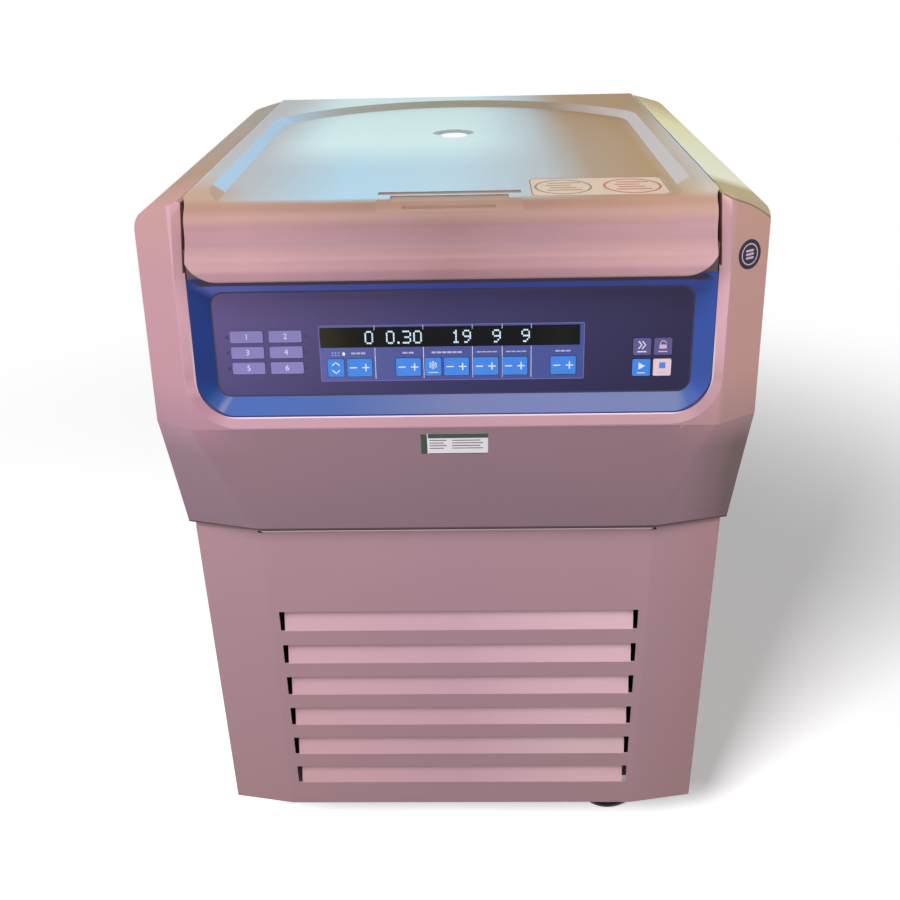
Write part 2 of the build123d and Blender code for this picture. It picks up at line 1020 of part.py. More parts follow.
# ------------------------------------------------------------------ upper housing
# Front fascia: pillars, chamfered ring round the console and the apron below it
pillar_top_v = (housing_top_z - crease_z) / math.cos(math.radians(front_lean))
pillar_top_half_width = pillar_half_width(opening_half_width, pillar_top_v)
with BuildPart() as front_fascia:
    add(housing_outer)
    add(housing_inner, mode=Mode.SUBTRACT)
    with BuildPart(mode=Mode.ADD) as opening_rim:
        extrude(
            opening_shape(
                ring_half_width + housing_wall,
                ring_bottom_v - housing_wall,
                ring_corner + housing_wall,
                ring_back,
            ),
            amount=2 * ring_back,
        )
        add(housing_outer, mode=Mode.INTERSECT)
    loft(
        [
            opening_shape(ring_half_width, ring_bottom_v, ring_corner, 0.0),
            opening_shape(opening_half_width, opening_bottom_v, opening_corner, ring_depth),
        ],
        ruled=True,
        mode=Mode.SUBTRACT,
    )
    extrude(
        opening_shape(opening_half_width, opening_bottom_v, opening_corner, 4 * ring_back),
        amount=5 * ring_back,
        mode=Mode.SUBTRACT,
    )
    flange_top = housing_bottom_z + housing_wall
    with BuildPart(mode=Mode.ADD) as fascia_base:
        add(housing_outer)
        block(
            -housing_half_width,
            housing_half_width,
            crease_y,
            housing_rear_y,
            flange_top,
            housing_top_z,
            Mode.SUBTRACT,
        )
        block(
            -apron_half_width + base_flange,
            apron_half_width - base_flange,
            -shell_outer_radius - shell_clearance,
            housing_rear_y,
            housing_bottom_z,
            flange_top,
            Mode.SUBTRACT,
        )
    block(
        -housing_half_width,
        housing_half_width,
        housing_seam_y - seam_gap / 2,
        housing_rear_y,
        housing_bottom_z - post_size,
        housing_top_z,
        Mode.SUBTRACT,
    )
    for side in (-1, 1):
        with BuildPart(mode=Mode.SUBTRACT):
            block(
                side * (pillar_top_half_width + (pillar_round - housing_wall) / 2)
                - (pillar_round + housing_wall) / 2,
                side * (pillar_top_half_width + (pillar_round - housing_wall) / 2)
                + (pillar_round + housing_wall) / 2,
                crease_y,
                housing_seam_y,
                housing_top_z - pillar_round,
                housing_top_z + housing_wall,
            )
            bar(
                (side * (pillar_top_half_width + pillar_round), crease_y, housing_top_z - pillar_round),
                (side * (pillar_top_half_width + pillar_round), housing_seam_y, housing_top_z - pillar_round),
                pillar_round,
                Mode.SUBTRACT,
            )
finish(front_fascia.part, "front_fascia")

# Upper casing: both sides, rear and shoulders, with the walls of the lid's well
with BuildPart() as upper_casing:
    add(housing_outer)
    add(housing_inner, mode=Mode.SUBTRACT)
    block(
        -well_half_width,
        well_half_width,
        crease_y,
        well_rear_y,
        deck_z - deck_thickness,
        housing_top_z,
        Mode.SUBTRACT,
    )
    with BuildPart(mode=Mode.ADD) as well_walls:
        wall_foot = deck_z + seat_gap
        outer_x = well_half_width + well_wall
        block(-outer_x, outer_x, crease_y, well_rear_y + well_wall, wall_foot, housing_top_z)
        block(
            -well_half_width,
            well_half_width,
            crease_y,
            well_rear_y,
            wall_foot,
            housing_top_z,
            Mode.SUBTRACT,
        )
        add(housing_outer, mode=Mode.INTERSECT)
    with BuildPart(mode=Mode.ADD) as casing_base:
        add(housing_outer)
        block(
            -housing_half_width,
            housing_half_width,
            crease_y,
            housing_rear_y,
            flange_top,
            housing_top_z,
            Mode.SUBTRACT,
        )
        block(
            -apron_half_width + base_flange,
            apron_half_width - base_flange,
            crease_y,
            housing_rear_y - base_flange,
            housing_bottom_z,
            flange_top,
            Mode.SUBTRACT,
        )
    block(
        -housing_half_width,
        housing_half_width,
        crease_y,
        housing_seam_y + seam_gap / 2,
        housing_bottom_z - post_size,
        housing_top_z,
        Mode.SUBTRACT,
    )
    for side in (-1, 1):
        bar(
            (side * (housing_half_width - housing_wall / 2), strut_base_y, strut_base_z),
            (side * (strut_x - strut_eye_half_width - strut_pin_overhang), strut_base_y, strut_base_z),
            strut_pin_radius,
        )
finish(upper_casing.part, "upper_casing")

# Deck under the lid: carries the bowl, the hinge ears and the latch shaft
hinge_ear_in = hinge_arm_width / 2 + hinge_side_gap
hinge_ear_out = hinge_ear_in + hinge_ear_width
pocket_half = hinge_ear_out + hinge_pocket_clearance
deck_half_width = well_half_width + well_wall
with BuildPart() as top_deck:
    deck_bottom = deck_z - deck_thickness
    block(
        -deck_half_width,
        deck_half_width,
        deck_step_y,
        well_rear_y - seat_gap,
        deck_bottom,
        deck_z,
    )
    block(
        -deck_front_half_width,
        deck_front_half_width,
        deck_front_y,
        deck_step_y,
        deck_bottom,
        deck_z,
    )
    skirt_foot = console_point(0, bezel_top_v, ring_depth).Z + seat_gap
    block(
        -deck_front_half_width,
        deck_front_half_width,
        deck_front_y,
        deck_front_y + deck_skirt,
        skirt_foot,
        deck_z,
    )
    drum(0, 0, deck_bottom, deck_z, deck_hole_radius, Mode.SUBTRACT)
    for side in (-1, 1):
        # hinge ears
        for ear_side in (-1, 1):
            near = side * hinge_x + ear_side * hinge_ear_in
            far = side * hinge_x + ear_side * hinge_ear_out
            extrude(
                outline(
                    Plane.YZ.offset(min(near, far)),
                    (hinge_y - hinge_ear_foot_front, deck_bottom),
                    (hinge_y + hinge_ear_foot_rear, deck_bottom),
                    (hinge_y + hinge_ear_neck, hinge_z),
                    (hinge_y - hinge_ear_neck, hinge_z),
                ),
                amount=hinge_ear_width,
            )
            bar(
                (min(near, far), hinge_y, hinge_z),
                (max(near, far), hinge_y, hinge_z),
                hinge_boss_radius,
            )
        bar(
            (side * hinge_x - pocket_half, hinge_y, hinge_z),
            (side * hinge_x + pocket_half, hinge_y, hinge_z),
            hinge_pin_radius + running_clearance,
            Mode.SUBTRACT,
        )
        # slots for the struts and the latch hooks
        block(
            side * strut_x - strut_slot_half_width,
            side * strut_x + strut_slot_half_width,
            strut_base_y - strut_slot_front,
            strut_top_y + strut_slot_rear,
            deck_bottom,
            deck_z,
            Mode.SUBTRACT,
        )
        block(
            side * latch_x - latch_hook_width / 2 - latch_slot_side,
            side * latch_x + latch_hook_width / 2 + latch_slot_side,
            latch_y - latch_slot_front,
            latch_y + latch_slot_rear,
            deck_bottom,
            deck_z,
            Mode.SUBTRACT,
        )
        # ears that carry the latch shaft
        ear_x = side * (latch_x + latch_hook_width)
        with BuildPart(mode=Mode.ADD) as latch_ear_form:
            block(
                ear_x - latch_ear_width / 2,
                ear_x + latch_ear_width / 2,
                latch_y - latch_ear_half,
                latch_y + latch_ear_half,
                latch_z - latch_ear_half,
                deck_z,
            )
            bar(
                (ear_x - latch_ear_width, latch_y, latch_z),
                (ear_x + latch_ear_width, latch_y, latch_z),
                latch_shaft_radius + running_clearance,
                Mode.SUBTRACT,
            )
finish(top_deck.part, "top_deck")

# ------------------------------------------------------------------ console
# Bezel: a shallow dish that slopes from the opening down to the control panel
with BuildPart() as control_bezel:
    rim = opening_half_width - seat_gap
    rim_bottom = opening_bottom_v + seat_gap
    extrude(
        upright_shape(rim, rim_bottom, bezel_top_v, opening_corner, bezel_back),
        amount=bezel_back - ring_depth,
    )
    loft(
        [
            pad_shape(
                -rim + bezel_land,
                rim - bezel_land,
                rim_bottom + bezel_land,
                bezel_top_v - bezel_land,
                panel_corner,
                ring_depth,
            ),
            pad_shape(
                -panel_half_width - seat_gap,
                panel_half_width + seat_gap,
                panel_bottom_v - seat_gap,
                panel_top_v + seat_gap,
                panel_corner,
                panel_depth,
            ),
        ],
        ruled=True,
        mode=Mode.SUBTRACT,
    )
    extrude(
        pad_shape(
            -panel_half_width - seat_gap,
            panel_half_width + seat_gap,
            panel_bottom_v - seat_gap,
            panel_top_v + seat_gap,
            panel_corner,
            panel_depth + panel_thickness + seat_gap,
        ),
        amount=panel_thickness + seat_gap,
        mode=Mode.SUBTRACT,
    )
    extrude(
        pad_shape(
            -panel_half_width + panel_ledge,
            panel_half_width - panel_ledge,
            panel_bottom_v + panel_ledge,
            panel_top_v - panel_ledge,
            panel_corner,
            bezel_back,
        ),
        amount=bezel_back - panel_depth,
        mode=Mode.SUBTRACT,
    )
finish(control_bezel.part, "control_bezel")

# Keys: name, left, right, lower and upper edge on the front plane
half_row = key_row_height / 2


def row_key(name, middle, width):
    """A key of the row below the display."""
    return (name, middle - width / 2, middle + width / 2, key_row_v - half_row, key_row_v + half_row)


keys = [
    row_key("key_mode", toggle_u, narrow_key_width),
    row_key("key_speed", speed_u, pad_width),
    row_key("key_time", time_u, pad_width),
    row_key("key_precool", precool_u, narrow_key_width),
    row_key("key_temperature", temperature_u, pad_width),
    row_key("key_acceleration", acceleration_u, pad_width),
    row_key("key_deceleration", deceleration_u, pad_width),
    row_key("key_bucket", bucket_u, pad_width),
]
for row, middle_v in enumerate(program_rows):
    for column, middle_u in enumerate(program_columns):
        number = 2 * row + column + 1
        keys.append(
            (
                f"key_program_{number}",
                middle_u - program_key_width / 2,
                middle_u + program_key_width / 2,
                middle_v - program_key_height / 2,
                middle_v + program_key_height / 2,
            )
        )
action_names = (("key_pulse", "key_open_lid"), ("key_start", "key_stop"))
for row_names, middle_v in zip(action_names, action_rows):
    for name, middle_u in zip(row_names, action_columns):
        keys.append(
            (
                name,
                middle_u - action_key_width / 2,
                middle_u + action_key_width / 2,
                middle_v - action_key_height / 2,
                middle_v + action_key_height / 2,
            )
        )

panel_back = panel_depth + panel_thickness
with BuildPart() as control_panel:
    extrude(
        pad_shape(
            -panel_half_width,
            panel_half_width,
            panel_bottom_v,
            panel_top_v,
            panel_corner,
            panel_back,
        ),
        amount=panel_thickness,
    )
    for name, u0, u1, v0, v1 in keys:
        extrude(
            pad_shape(
                u0 - key_gap,
                u1 + key_gap,
                v0 - key_gap,
                v1 + key_gap,
                key_corner + key_gap,
                panel_back,
            ),
            amount=panel_thickness,
            mode=Mode.SUBTRACT,
        )
    extrude(
        pad_shape(
            window_middle_u - window_half_width - seat_gap,
            window_middle_u + window_half_width + seat_gap,
            window_bottom_v - seat_gap,
            window_top_v + seat_gap,
            key_corner,
            panel_depth + window_thickness,
        ),
        amount=window_thickness,
        mode=Mode.SUBTRACT,
    )
finish(control_panel.part, "control_panel")

with BuildPart() as display_window:
    extrude(
        pad_shape(
            window_middle_u - window_half_width,
            window_middle_u + window_half_width,
            window_bottom_v,
            window_top_v,
            key_corner,
            panel_depth + window_thickness,
        ),
        amount=window_thickness,
    )
finish(display_window.part, "display_window")

for name, u0, u1, v0, v1 in keys:
    with BuildPart() as key:
        extrude(
            pad_shape(u0, u1, v0, v1, key_corner, panel_depth + key_thickness - key_height),
            amount=key_thickness,
        )
    finish(key.part, name)

# ------------------------------------------------------------------ chamber
bowl_floor_bottom = bowl_floor_z - bowl_wall
flange_bottom = deck_z + seat_gap
flange_top_z = flange_bottom + bowl_wall
with BuildPart() as chamber_bowl:
    drum(0, 0, bowl_floor_bottom, flange_top_z, bowl_outer_radius)
    fillet(chamber_bowl.faces().sort_by(Axis.Z)[0].edges(), bowl_corner + bowl_wall)
    drum(0, 0, flange_bottom, flange_top_z, bowl_flange_radius)
    with BuildPart(mode=Mode.SUBTRACT) as bowl_space:
        drum(0, 0, bowl_floor_z, flange_top_z + bowl_wall, bowl_radius)
        fillet(bowl_space.faces().sort_by(Axis.Z)[0].edges(), bowl_corner)
    drum(0, 0, bowl_floor_bottom, bowl_floor_z, bowl_centre_hole, Mode.SUBTRACT)
finish(chamber_bowl.part, "chamber_bowl")

# Lid seal: a hollow-backed rubber ring on the bowl's flange
liner_bottom = lid_skirt_z - seat_gap - liner_thickness
seal_land_z = liner_bottom - seal_land_height
gasket_bottom = flange_top_z + seat_gap
with BuildPart() as bowl_gasket:
    gasket_middle = (gasket_inner_radius + gasket_outer_radius) / 2
    drum(0, 0, gasket_bottom, gasket_bottom + gasket_base, gasket_outer_radius)
    drum(0, 0, gasket_bottom, gasket_bottom + gasket_base, gasket_inner_radius, Mode.SUBTRACT)
    with BuildPart(mode=Mode.ADD) as gasket_lip:
        drum(0, 0, gasket_bottom, seal_land_z - seat_gap, gasket_middle + gasket_lip_outer)
        drum(0, 0, gasket_bottom, seal_land_z, gasket_middle - gasket_lip_inner, Mode.SUBTRACT)
finish(bowl_gasket.part, "bowl_gasket")

# Evaporator: copper rings round the bowl, joined by a riser that runs down to the compressor
port_top_z = compressor_base_z + compressor_height + coil_port_height
with BuildPart() as evaporator_coil:
    coil_last_z = coil_first_z + (coil_turns - 1) * coil_pitch
    for turn in range(coil_turns):
        with Locations((0, 0, coil_first_z + turn * coil_pitch)):
            Torus(coil_radius, coil_tube_radius)
    drum(
        -riser_offset,
        riser_offset,
        port_top_z + seat_gap,
        coil_last_z,
        coil_tube_radius,
    )
finish(evaporator_coil.part, "evaporator_coil")

# Insulation: rigid foam shell between the machine plate and the deck
shell_floor_top = bowl_floor_bottom - seat_gap
shell_floor_bottom = shell_floor_top - shell_floor_thickness
with BuildPart() as insulation_shell:
    drum(0, 0, housing_bottom_z, deck_bottom - seat_gap, shell_outer_radius)
    drum(0, 0, shell_floor_top, deck_z, shell_inner_radius, Mode.SUBTRACT)
    drum(
        0,
        0,
        housing_bottom_z,
        shell_floor_bottom,
        shell_outer_radius - shell_skirt_wall,
        Mode.SUBTRACT,
    )
    drum(0, 0, shell_floor_bottom, shell_floor_top, shell_centre_hole, Mode.SUBTRACT)
    drum(
        -riser_offset,
        riser_offset,
        shell_floor_bottom,
        shell_floor_top,
        coil_tube_radius + coil_riser_clearance,
        Mode.SUBTRACT,
    )
finish(insulation_shell.part, "insulation_shell")

# ------------------------------------------------------------------ drive
mount_top_z = machine_plate_top + seat_gap + mount_height
flange_z = mount_top_z + seat_gap
with BuildPart() as drive_motor:
    drum(0, 0, motor_bottom_z, motor_shoulder_z, motor_radius)
    fillet(drive_motor.edges().filter_by(GeomType.CIRCLE), motor_round)
    drum(0, 0, flange_z, flange_z + motor_flange_thickness, motor_flange_radius)
    drum(0, 0, motor_shoulder_z, motor_top_z, motor_nose_radius)
    drum(
        0,
        0,
        motor_shoulder_z,
        motor_shoulder_z + motor_collar_height,
        motor_nose_radius + motor_collar,
    )
    drum(
        0,
        0,
        shaft_bottom_z - seat_gap,
        motor_top_z,
        shaft_radius + running_clearance,
        Mode.SUBTRACT,
    )
    with PolarLocations(motor_radius, motor_rib_count):
        with Locations((0, 0, (motor_bottom_z + machine_plate_bottom) / 2)):
            Box(
                2 * motor_rib_height,
                motor_rib_width,
                machine_plate_bottom - motor_bottom_z - 2 * motor_rib_end,
            )
finish(drive_motor.part, "drive_motor")

with BuildPart() as motor_mounts:
    with PolarLocations(mount_circle_radius, mount_count, start_angle=90):
        with Locations((0, 0, machine_plate_top + seat_gap + mount_height / 2)):
            Cylinder(mount_radius, mount_height)
        for waist in (-1, 1):
            with Locations((0, 0, machine_plate_top + seat_gap + mount_height / 2 + waist * mount_groove_offset)):
                Torus(mount_radius, mount_groove_radius, mode=Mode.SUBTRACT)
finish(motor_mounts.part, "motor_mounts")

knob_base_z = hub_top_z + seat_gap
with BuildPart() as drive_shaft:
    drum(0, 0, shaft_bottom_z, knob_base_z + knob_base_height, shaft_radius)
    drum(0, 0, motor_top_z + shaft_collar_gap, hub_bottom_z - seat_gap, shaft_radius + shaft_collar)
finish(drive_shaft.part, "drive_shaft")

# ------------------------------------------------------------------ rotor
# Yoke: hub, cross beams and two side arms with the four trunnions of the carriers
arm_outer_y = arm_gap_half + arm_thickness
arm_top_z = arm_bottom_z + arm_height
arm_reach = pivot_x + arm_end
with BuildPart() as rotor_yoke:
    drum(0, 0, hub_bottom_z, hub_top_z, hub_radius)
    extrude(
        outline(
            Plane.XY.offset(arm_bottom_z),
            (-beam_half_width, -arm_outer_y, beam_round),
            (beam_half_width, -arm_outer_y, beam_round),
            (beam_half_width, arm_outer_y, beam_round),
            (-beam_half_width, arm_outer_y, beam_round),
        ),
        amount=arm_height,
    )
    for arm_side in (-1, 1):
        arm_inner = arm_side * arm_gap_half
        arm_outer = arm_side * arm_outer_y
        extrude(
            outline(
                Plane.XZ.offset(-max(arm_inner, arm_outer)),
                (-arm_reach, arm_bottom_z + arm_end_rise, arm_round),
                (-arm_middle_half, arm_bottom_z - arm_middle_drop, arm_round),
                (arm_middle_half, arm_bottom_z - arm_middle_drop, arm_round),
                (arm_reach, arm_bottom_z + arm_end_rise, arm_round),
                (arm_reach, arm_top_z, arm_round),
                (-arm_reach, arm_top_z, arm_round),
            ),
            amount=arm_thickness,
        )
        for side in (-1, 1):
            bar(
                (side * pivot_x, arm_side * trunnion_inner_y, pivot_z),
                (side * pivot_x, arm_side * (arm_gap_half + arm_thickness / 2), pivot_z),
                trunnion_radius,
            )
    for side in (-1, 1):
        drum(0, side * lightening_y, arm_bottom_z, arm_top_z, lightening_radius, Mode.SUBTRACT)
    drum(0, 0, hub_bottom_z, hub_top_z, shaft_radius + running_clearance, Mode.SUBTRACT)
finish(rotor_yoke.part, "rotor_yoke")

with BuildPart() as rotor_knob:
    drum(0, 0, knob_base_z, knob_base_z + knob_height, knob_radius)
    fillet(rotor_knob.faces().sort_by(Axis.Z)[-1].edges(), knob_round)
    with PolarLocations(knob_radius + knob_grip_offset, knob_grip_count):
        with Locations((0, 0, knob_base_z + knob_height / 2 + knob_base_height)):
            Cylinder(knob_grip_radius, knob_height, mode=Mode.SUBTRACT)
    drum(
        0,
        0,
        knob_base_z,
        knob_base_z + knob_base_height + seat_gap,
        shaft_radius + running_clearance,
        Mode.SUBTRACT,
    )
finish(rotor_knob.part, "rotor_knob")


def carrier(side):
    """A swing-out carrier for one microplate stack; side is -1 for left and 1 for right."""
    middle = side * pivot_x
    low = pivot_z - carrier_depth
    high = pivot_z + carrier_rise
    half_x = carrier_half_width
    half_y = carrier_half_length
    with BuildPart() as tray:
        extrude(
            outline(
                Plane.XY.offset(low),
                (middle - half_x, -half_y, carrier_corner),
                (middle + half_x, -half_y, carrier_corner),
                (middle + half_x, half_y, carrier_corner),
                (middle - half_x, half_y, carrier_corner),
            ),
            amount=high - low,
        )
        inner_x = half_x - carrier_wall
        inner_y = half_y - carrier_wall
        inner_corner = carrier_corner - carrier_wall
        extrude(
            outline(
                Plane.XY.offset(low + carrier_floor),
                (middle - inner_x, -inner_y, inner_corner),
                (middle + inner_x, -inner_y, inner_corner),
                (middle + inner_x, inner_y, inner_corner),
                (middle - inner_x, inner_y, inner_corner),
            ),
            amount=high - low,
            mode=Mode.SUBTRACT,
        )
        block(
            middle - half_x,
            middle + half_x,
            -half_y + carrier_window_end,
            half_y - carrier_window_end,
            low + carrier_window_sill,
            high,
            Mode.SUBTRACT,
        )
        for end in (-1, 1):
            bar(
                (middle, end * (half_y - carrier_wall), pivot_z),
                (middle, end * carrier_boss_reach, pivot_z),
                carrier_boss_radius,
            )
            bar(
                (middle, end * (half_y - 3 * carrier_wall), pivot_z),
                (middle, end * (carrier_boss_reach + carrier_wall), pivot_z),
                trunnion_radius + running_clearance,
                Mode.SUBTRACT,
            )
    return tray.part


finish(carrier(-1), "carrier_left")
finish(carrier(1), "carrier_right")

# ------------------------------------------------------------------ lid
roof_z = lid_top_z - lid_roof
pocket_radius = hinge_boss_radius + hinge_pocket_clearance


def recess_shape(inset, depth):
    """The shallow field on the lid's top: straight sides, open front, arched rear."""
    half = recess_half_width - inset
    radius = recess_rear_radius - inset
    centre_y = recess_rear_y - recess_rear_radius
    shoulder_y = centre_y + math.sqrt(radius**2 - half**2)
    corner = recess_corner - inset
    front = lip_front_y - lid_wall
    with BuildSketch(Plane.XY.offset(lid_top_z - depth)) as sketch:
        with BuildLine():
            Line((half, front), (half, shoulder_y))
            ThreePointArc(
                (half, shoulder_y), (0, recess_rear_y - inset), (-half, shoulder_y)
            )
            Line((-half, shoulder_y), (-half, front))
            Line((-half, front), (half, front))
        make_face()
        fillet(sketch.vertices().group_by(Axis.Y)[-1], corner)
    return sketch.sketch


# Lid shell: skirted cover with a rolled front lip
with BuildPart() as lid_shell:
    lip_back = lip_front_y + lip_thickness
    extrude(
        outline(
            Plane.YZ,
            (lid_rear_y, lid_skirt_z),
            (lid_rear_y, lid_top_z, lid_rear_y - hinge_y),
            (lid_brow_y, lid_top_z, lid_brow_round),
            (lid_roll_y, lid_top_z - lid_roll_drop, lid_roll_radius),
            (lid_roll_y - lip_hollow_inset, lip_bottom_z + lip_hollow_z, lip_hollow_round),
            (lip_front_y + lip_band_inset, lip_bottom_z + lip_band_z, lip_band_round),
            (lip_front_y, lip_bottom_z + lip_bulge_z, lip_bulge_round),
            (lip_front_y, lip_bottom_z, lip_round),
            (lip_back, lip_bottom_z, lip_round),
            (lip_back + lip_back_slope, lid_skirt_z),
        ),
        amount=lid_half_width,
        both=True,
    )
    with BuildPart(mode=Mode.INTERSECT):
        reach = lid_rear_y - lip_front_y + lid_roof
        extrude(
            outline(
                Plane.XZ.offset(-reach),
                (-lip_half_width, lip_bottom_z, lip_corner),
                (lip_half_width, lip_bottom_z, lip_corner),
                (lid_half_width, lid_skirt_z, lid_skirt_corner),
                (lid_half_width, lid_top_z, lid_edge_round),
                (-lid_half_width, lid_top_z, lid_edge_round),
                (-lid_half_width, lid_skirt_z, lid_skirt_corner),
            ),
            amount=2 * reach,
        )
    loft(
        [recess_shape(recess_bevel, recess_depth), recess_shape(0.0, 0.0)],
        ruled=True,
        mode=Mode.SUBTRACT,
    )
    notch_rear_y = housing_seam_y + lid_pillar_gap
    notch_z = housing_top_z + lid_pillar_gap
    for side in (-1, 1):
        # the front of the lid passes between the pillars and round their upper corners
        extrude(
            outline(
                Plane.XZ.offset(-notch_rear_y),
                (side * lip_half_width, lip_bottom_z - lid_wall),
                (
                    side * (pillar_top_half_width - lid_pillar_gap),
                    notch_z,
                    pillar_round + lid_pillar_gap,
                ),
                (side * (lid_half_width + pillar_round + lid_wall), notch_z),
                (side * (lid_half_width + pillar_round + lid_wall), lip_bottom_z - lid_wall),
            ),
            amount=notch_rear_y - lip_front_y + lid_wall,
            mode=Mode.SUBTRACT,
        )
    block(
        -lid_half_width + lid_wall,
        lid_half_width - lid_wall,
        notch_rear_y + lid_wall,
        lid_rear_y - lid_wall,
        lid_skirt_z - lid_wall,
        roof_z,
        Mode.SUBTRACT,
    )
    extrude(
        outline(
            Plane.YZ,
            (notch_rear_y + 2 * lid_wall, lid_skirt_z - lid_wall),
            (notch_rear_y + 2 * lid_wall, roof_z),
            (lip_back + lip_wall + lid_cove_length, roof_z),
            (lip_back + lip_wall, roof_z - lid_cove_depth),
            (lip_back + lip_wall, lid_skirt_z - lid_wall),
        ),
        amount=lip_half_width - lid_wall,
        both=True,
        mode=Mode.SUBTRACT,
    )
    for side in (-1, 1):
        bar(
            (side * hinge_x - pocket_half, hinge_y, hinge_z),
            (side * hinge_x + pocket_half, hinge_y, hinge_z),
            pocket_radius,
            Mode.SUBTRACT,
        )
        block(
            side * hinge_x - pocket_half,
            side * hinge_x + pocket_half,
            hinge_y,
            lid_rear_y + lid_wall,
            lid_skirt_z - lid_wall,
            hinge_z + hinge_pin_radius,
            Mode.SUBTRACT,
        )
    floor_z = lid_top_z - recess_depth
    drum(0, viewport_y, roof_z - lid_wall, lid_top_z, viewport_radius, Mode.SUBTRACT)
    with Locations((0, viewport_y, floor_z - viewport_dish_depth / 2)):
        Cone(
            viewport_dish_radius - 4 * viewport_dish_depth,
            viewport_dish_radius,
            viewport_dish_depth,
            mode=Mode.SUBTRACT,
        )
    for half_width, rear_y, front_y, depth in zip(
        grip_half_widths, grip_rear_ys, grip_front_ys, grip_depths
    ):
        block(-half_width, half_width, front_y, rear_y, floor_z - depth, lid_top_z, Mode.SUBTRACT)
finish(lid_shell.part, "lid_shell")

# Lid liner: carries the seal land, the two latch bars and the struts' studs
stud_x = strut_x - strut_eye_half_width - strut_stud_gap
with BuildPart() as lid_liner:
    extrude(
        outline(
            Plane.XY.offset(liner_bottom),
            (-liner_half_width, liner_front_y),
            (liner_half_width, liner_front_y),
            (liner_half_width, liner_rear_y),
            (-liner_half_width, liner_rear_y),
        ),
        amount=liner_thickness,
    )
    drum(0, 0, seal_land_z, liner_bottom, gasket_outer_radius - 2 * seal_land_overlap)
    drum(0, 0, seal_land_z, liner_bottom, gasket_inner_radius + seal_land_overlap, Mode.SUBTRACT)
    drum(0, viewport_y, seal_land_z, lid_skirt_z, liner_window_radius, Mode.SUBTRACT)
    for side in (-1, 1):
        for post_y in (liner_front_y + standoff_end, 0.0, liner_rear_y - standoff_end):
            drum(
                side * (liner_half_width - standoff_inset),
                post_y,
                liner_bottom + liner_thickness,
                roof_z - seat_gap,
                standoff_radius,
            )
        # latch bar between two cheeks
        for cheek_side in (-1, 1):
            near = side * latch_x + cheek_side * (latch_hook_width / 2 + latch_cheek_gap)
            far = near + cheek_side * latch_cheek
            block(
                min(near, far),
                max(near, far),
                latch_bar_y - bar_cheek_front,
                liner_front_y + latch_cheek,
                liner_bottom,
                roof_z - seat_gap,
            )
        bar(
            (side * latch_x - latch_hook_width, latch_bar_y, latch_bar_z),
            (side * latch_x + latch_hook_width, latch_bar_y, latch_bar_z),
            latch_bar_radius,
        )
        # stud beside the strut's upper eye
        block(
            side * (liner_half_width - stud_block_inset) - stud_block_half,
            side * (liner_half_width - stud_block_inset) + stud_block_half,
            strut_top_y - stud_block_front,
            strut_top_y + stud_block_rear,
            liner_bottom,
            roof_z - seat_gap,
        )
        bar(
            (side * (liner_half_width - stud_block_inset), strut_top_y, strut_top_z),
            (side * stud_x, strut_top_y, strut_top_z),
            strut_pin_radius,
        )
finish(lid_liner.part, "lid_liner")

glass_top = roof_z - seat_gap
with BuildPart() as viewport_glass:
    drum(0, viewport_y, glass_top - viewport_glass_thickness, glass_top, viewport_glass_radius)
    drum(0, viewport_y, glass_top, floor_z - viewport_dish_depth, viewport_radius - seat_gap)
finish(viewport_glass.part, "viewport_glass")

# Hinge arms with their pins, bolted under the roof of the lid
with BuildPart() as lid_hinge_arms:
    for side in (-1, 1):
        x0 = side * hinge_x - hinge_arm_width / 2
        x1 = side * hinge_x + hinge_arm_width / 2
        arm_top = roof_z - seat_gap
        bar((x0, hinge_y, hinge_z), (x1, hinge_y, hinge_z), hinge_boss_radius)
        bar(
            (side * hinge_x - hinge_ear_out, hinge_y, hinge_z),
            (side * hinge_x + hinge_ear_out, hinge_y, hinge_z),
            hinge_pin_radius,
        )
        extrude(
            outline(
                Plane.YZ.offset(x0),
                (hinge_y - hinge_arm_length, arm_top - hinge_arm_depth),
                (hinge_y - hinge_arm_length, arm_top),
                (hinge_y, arm_top),
                (hinge_y, arm_top - hinge_arm_end_depth),
                (hinge_y - hinge_arm_step, arm_top - hinge_arm_depth),
            ),
            amount=hinge_arm_width,
        )
        block(
            side * hinge_x - hinge_pad_half_width,
            side * hinge_x + hinge_pad_half_width,
            hinge_y - hinge_arm_length,
            hinge_y - hinge_arm_step,
            arm_top - hinge_pad_thickness,
            arm_top,
        )
finish(lid_hinge_arms.part, "lid_hinge_arms")

# ------------------------------------------------------------------ lid struts
strut_vector = Vector(0, strut_top_y - strut_base_y, strut_top_z - strut_base_z)
strut_along = strut_vector.normalized()


def strut_point(side, distance):
    """A point on a strut's axis, measured from its lower pivot."""
    base = Vector(side * strut_x, strut_base_y, strut_base_z)
    return base + strut_along * distance


with BuildPart() as strut_cylinders:
    for side in (-1, 1):
        bar(
            strut_point(side, strut_pin_radius + strut_pin_overhang),
            strut_point(side, strut_cylinder_length),
            strut_cylinder_radius,
        )
        bar(
            strut_point(side, 0) - Vector(strut_eye_half_width, 0, 0),
            strut_point(side, 0) + Vector(strut_eye_half_width, 0, 0),
            strut_eye_radius,
        )
        bar(
            strut_point(side, 0) - Vector(2 * strut_cylinder_radius, 0, 0),
            strut_point(side, 0) + Vector(2 * strut_cylinder_radius, 0, 0),
            strut_pin_radius + running_clearance,
            Mode.SUBTRACT,
        )
        bar(
            strut_point(side, strut_bore_start),
            strut_point(side, strut_cylinder_length + strut_pin_overhang),
            strut_rod_radius + running_clearance,
            Mode.SUBTRACT,
        )
finish(strut_cylinders.part, "strut_cylinders")

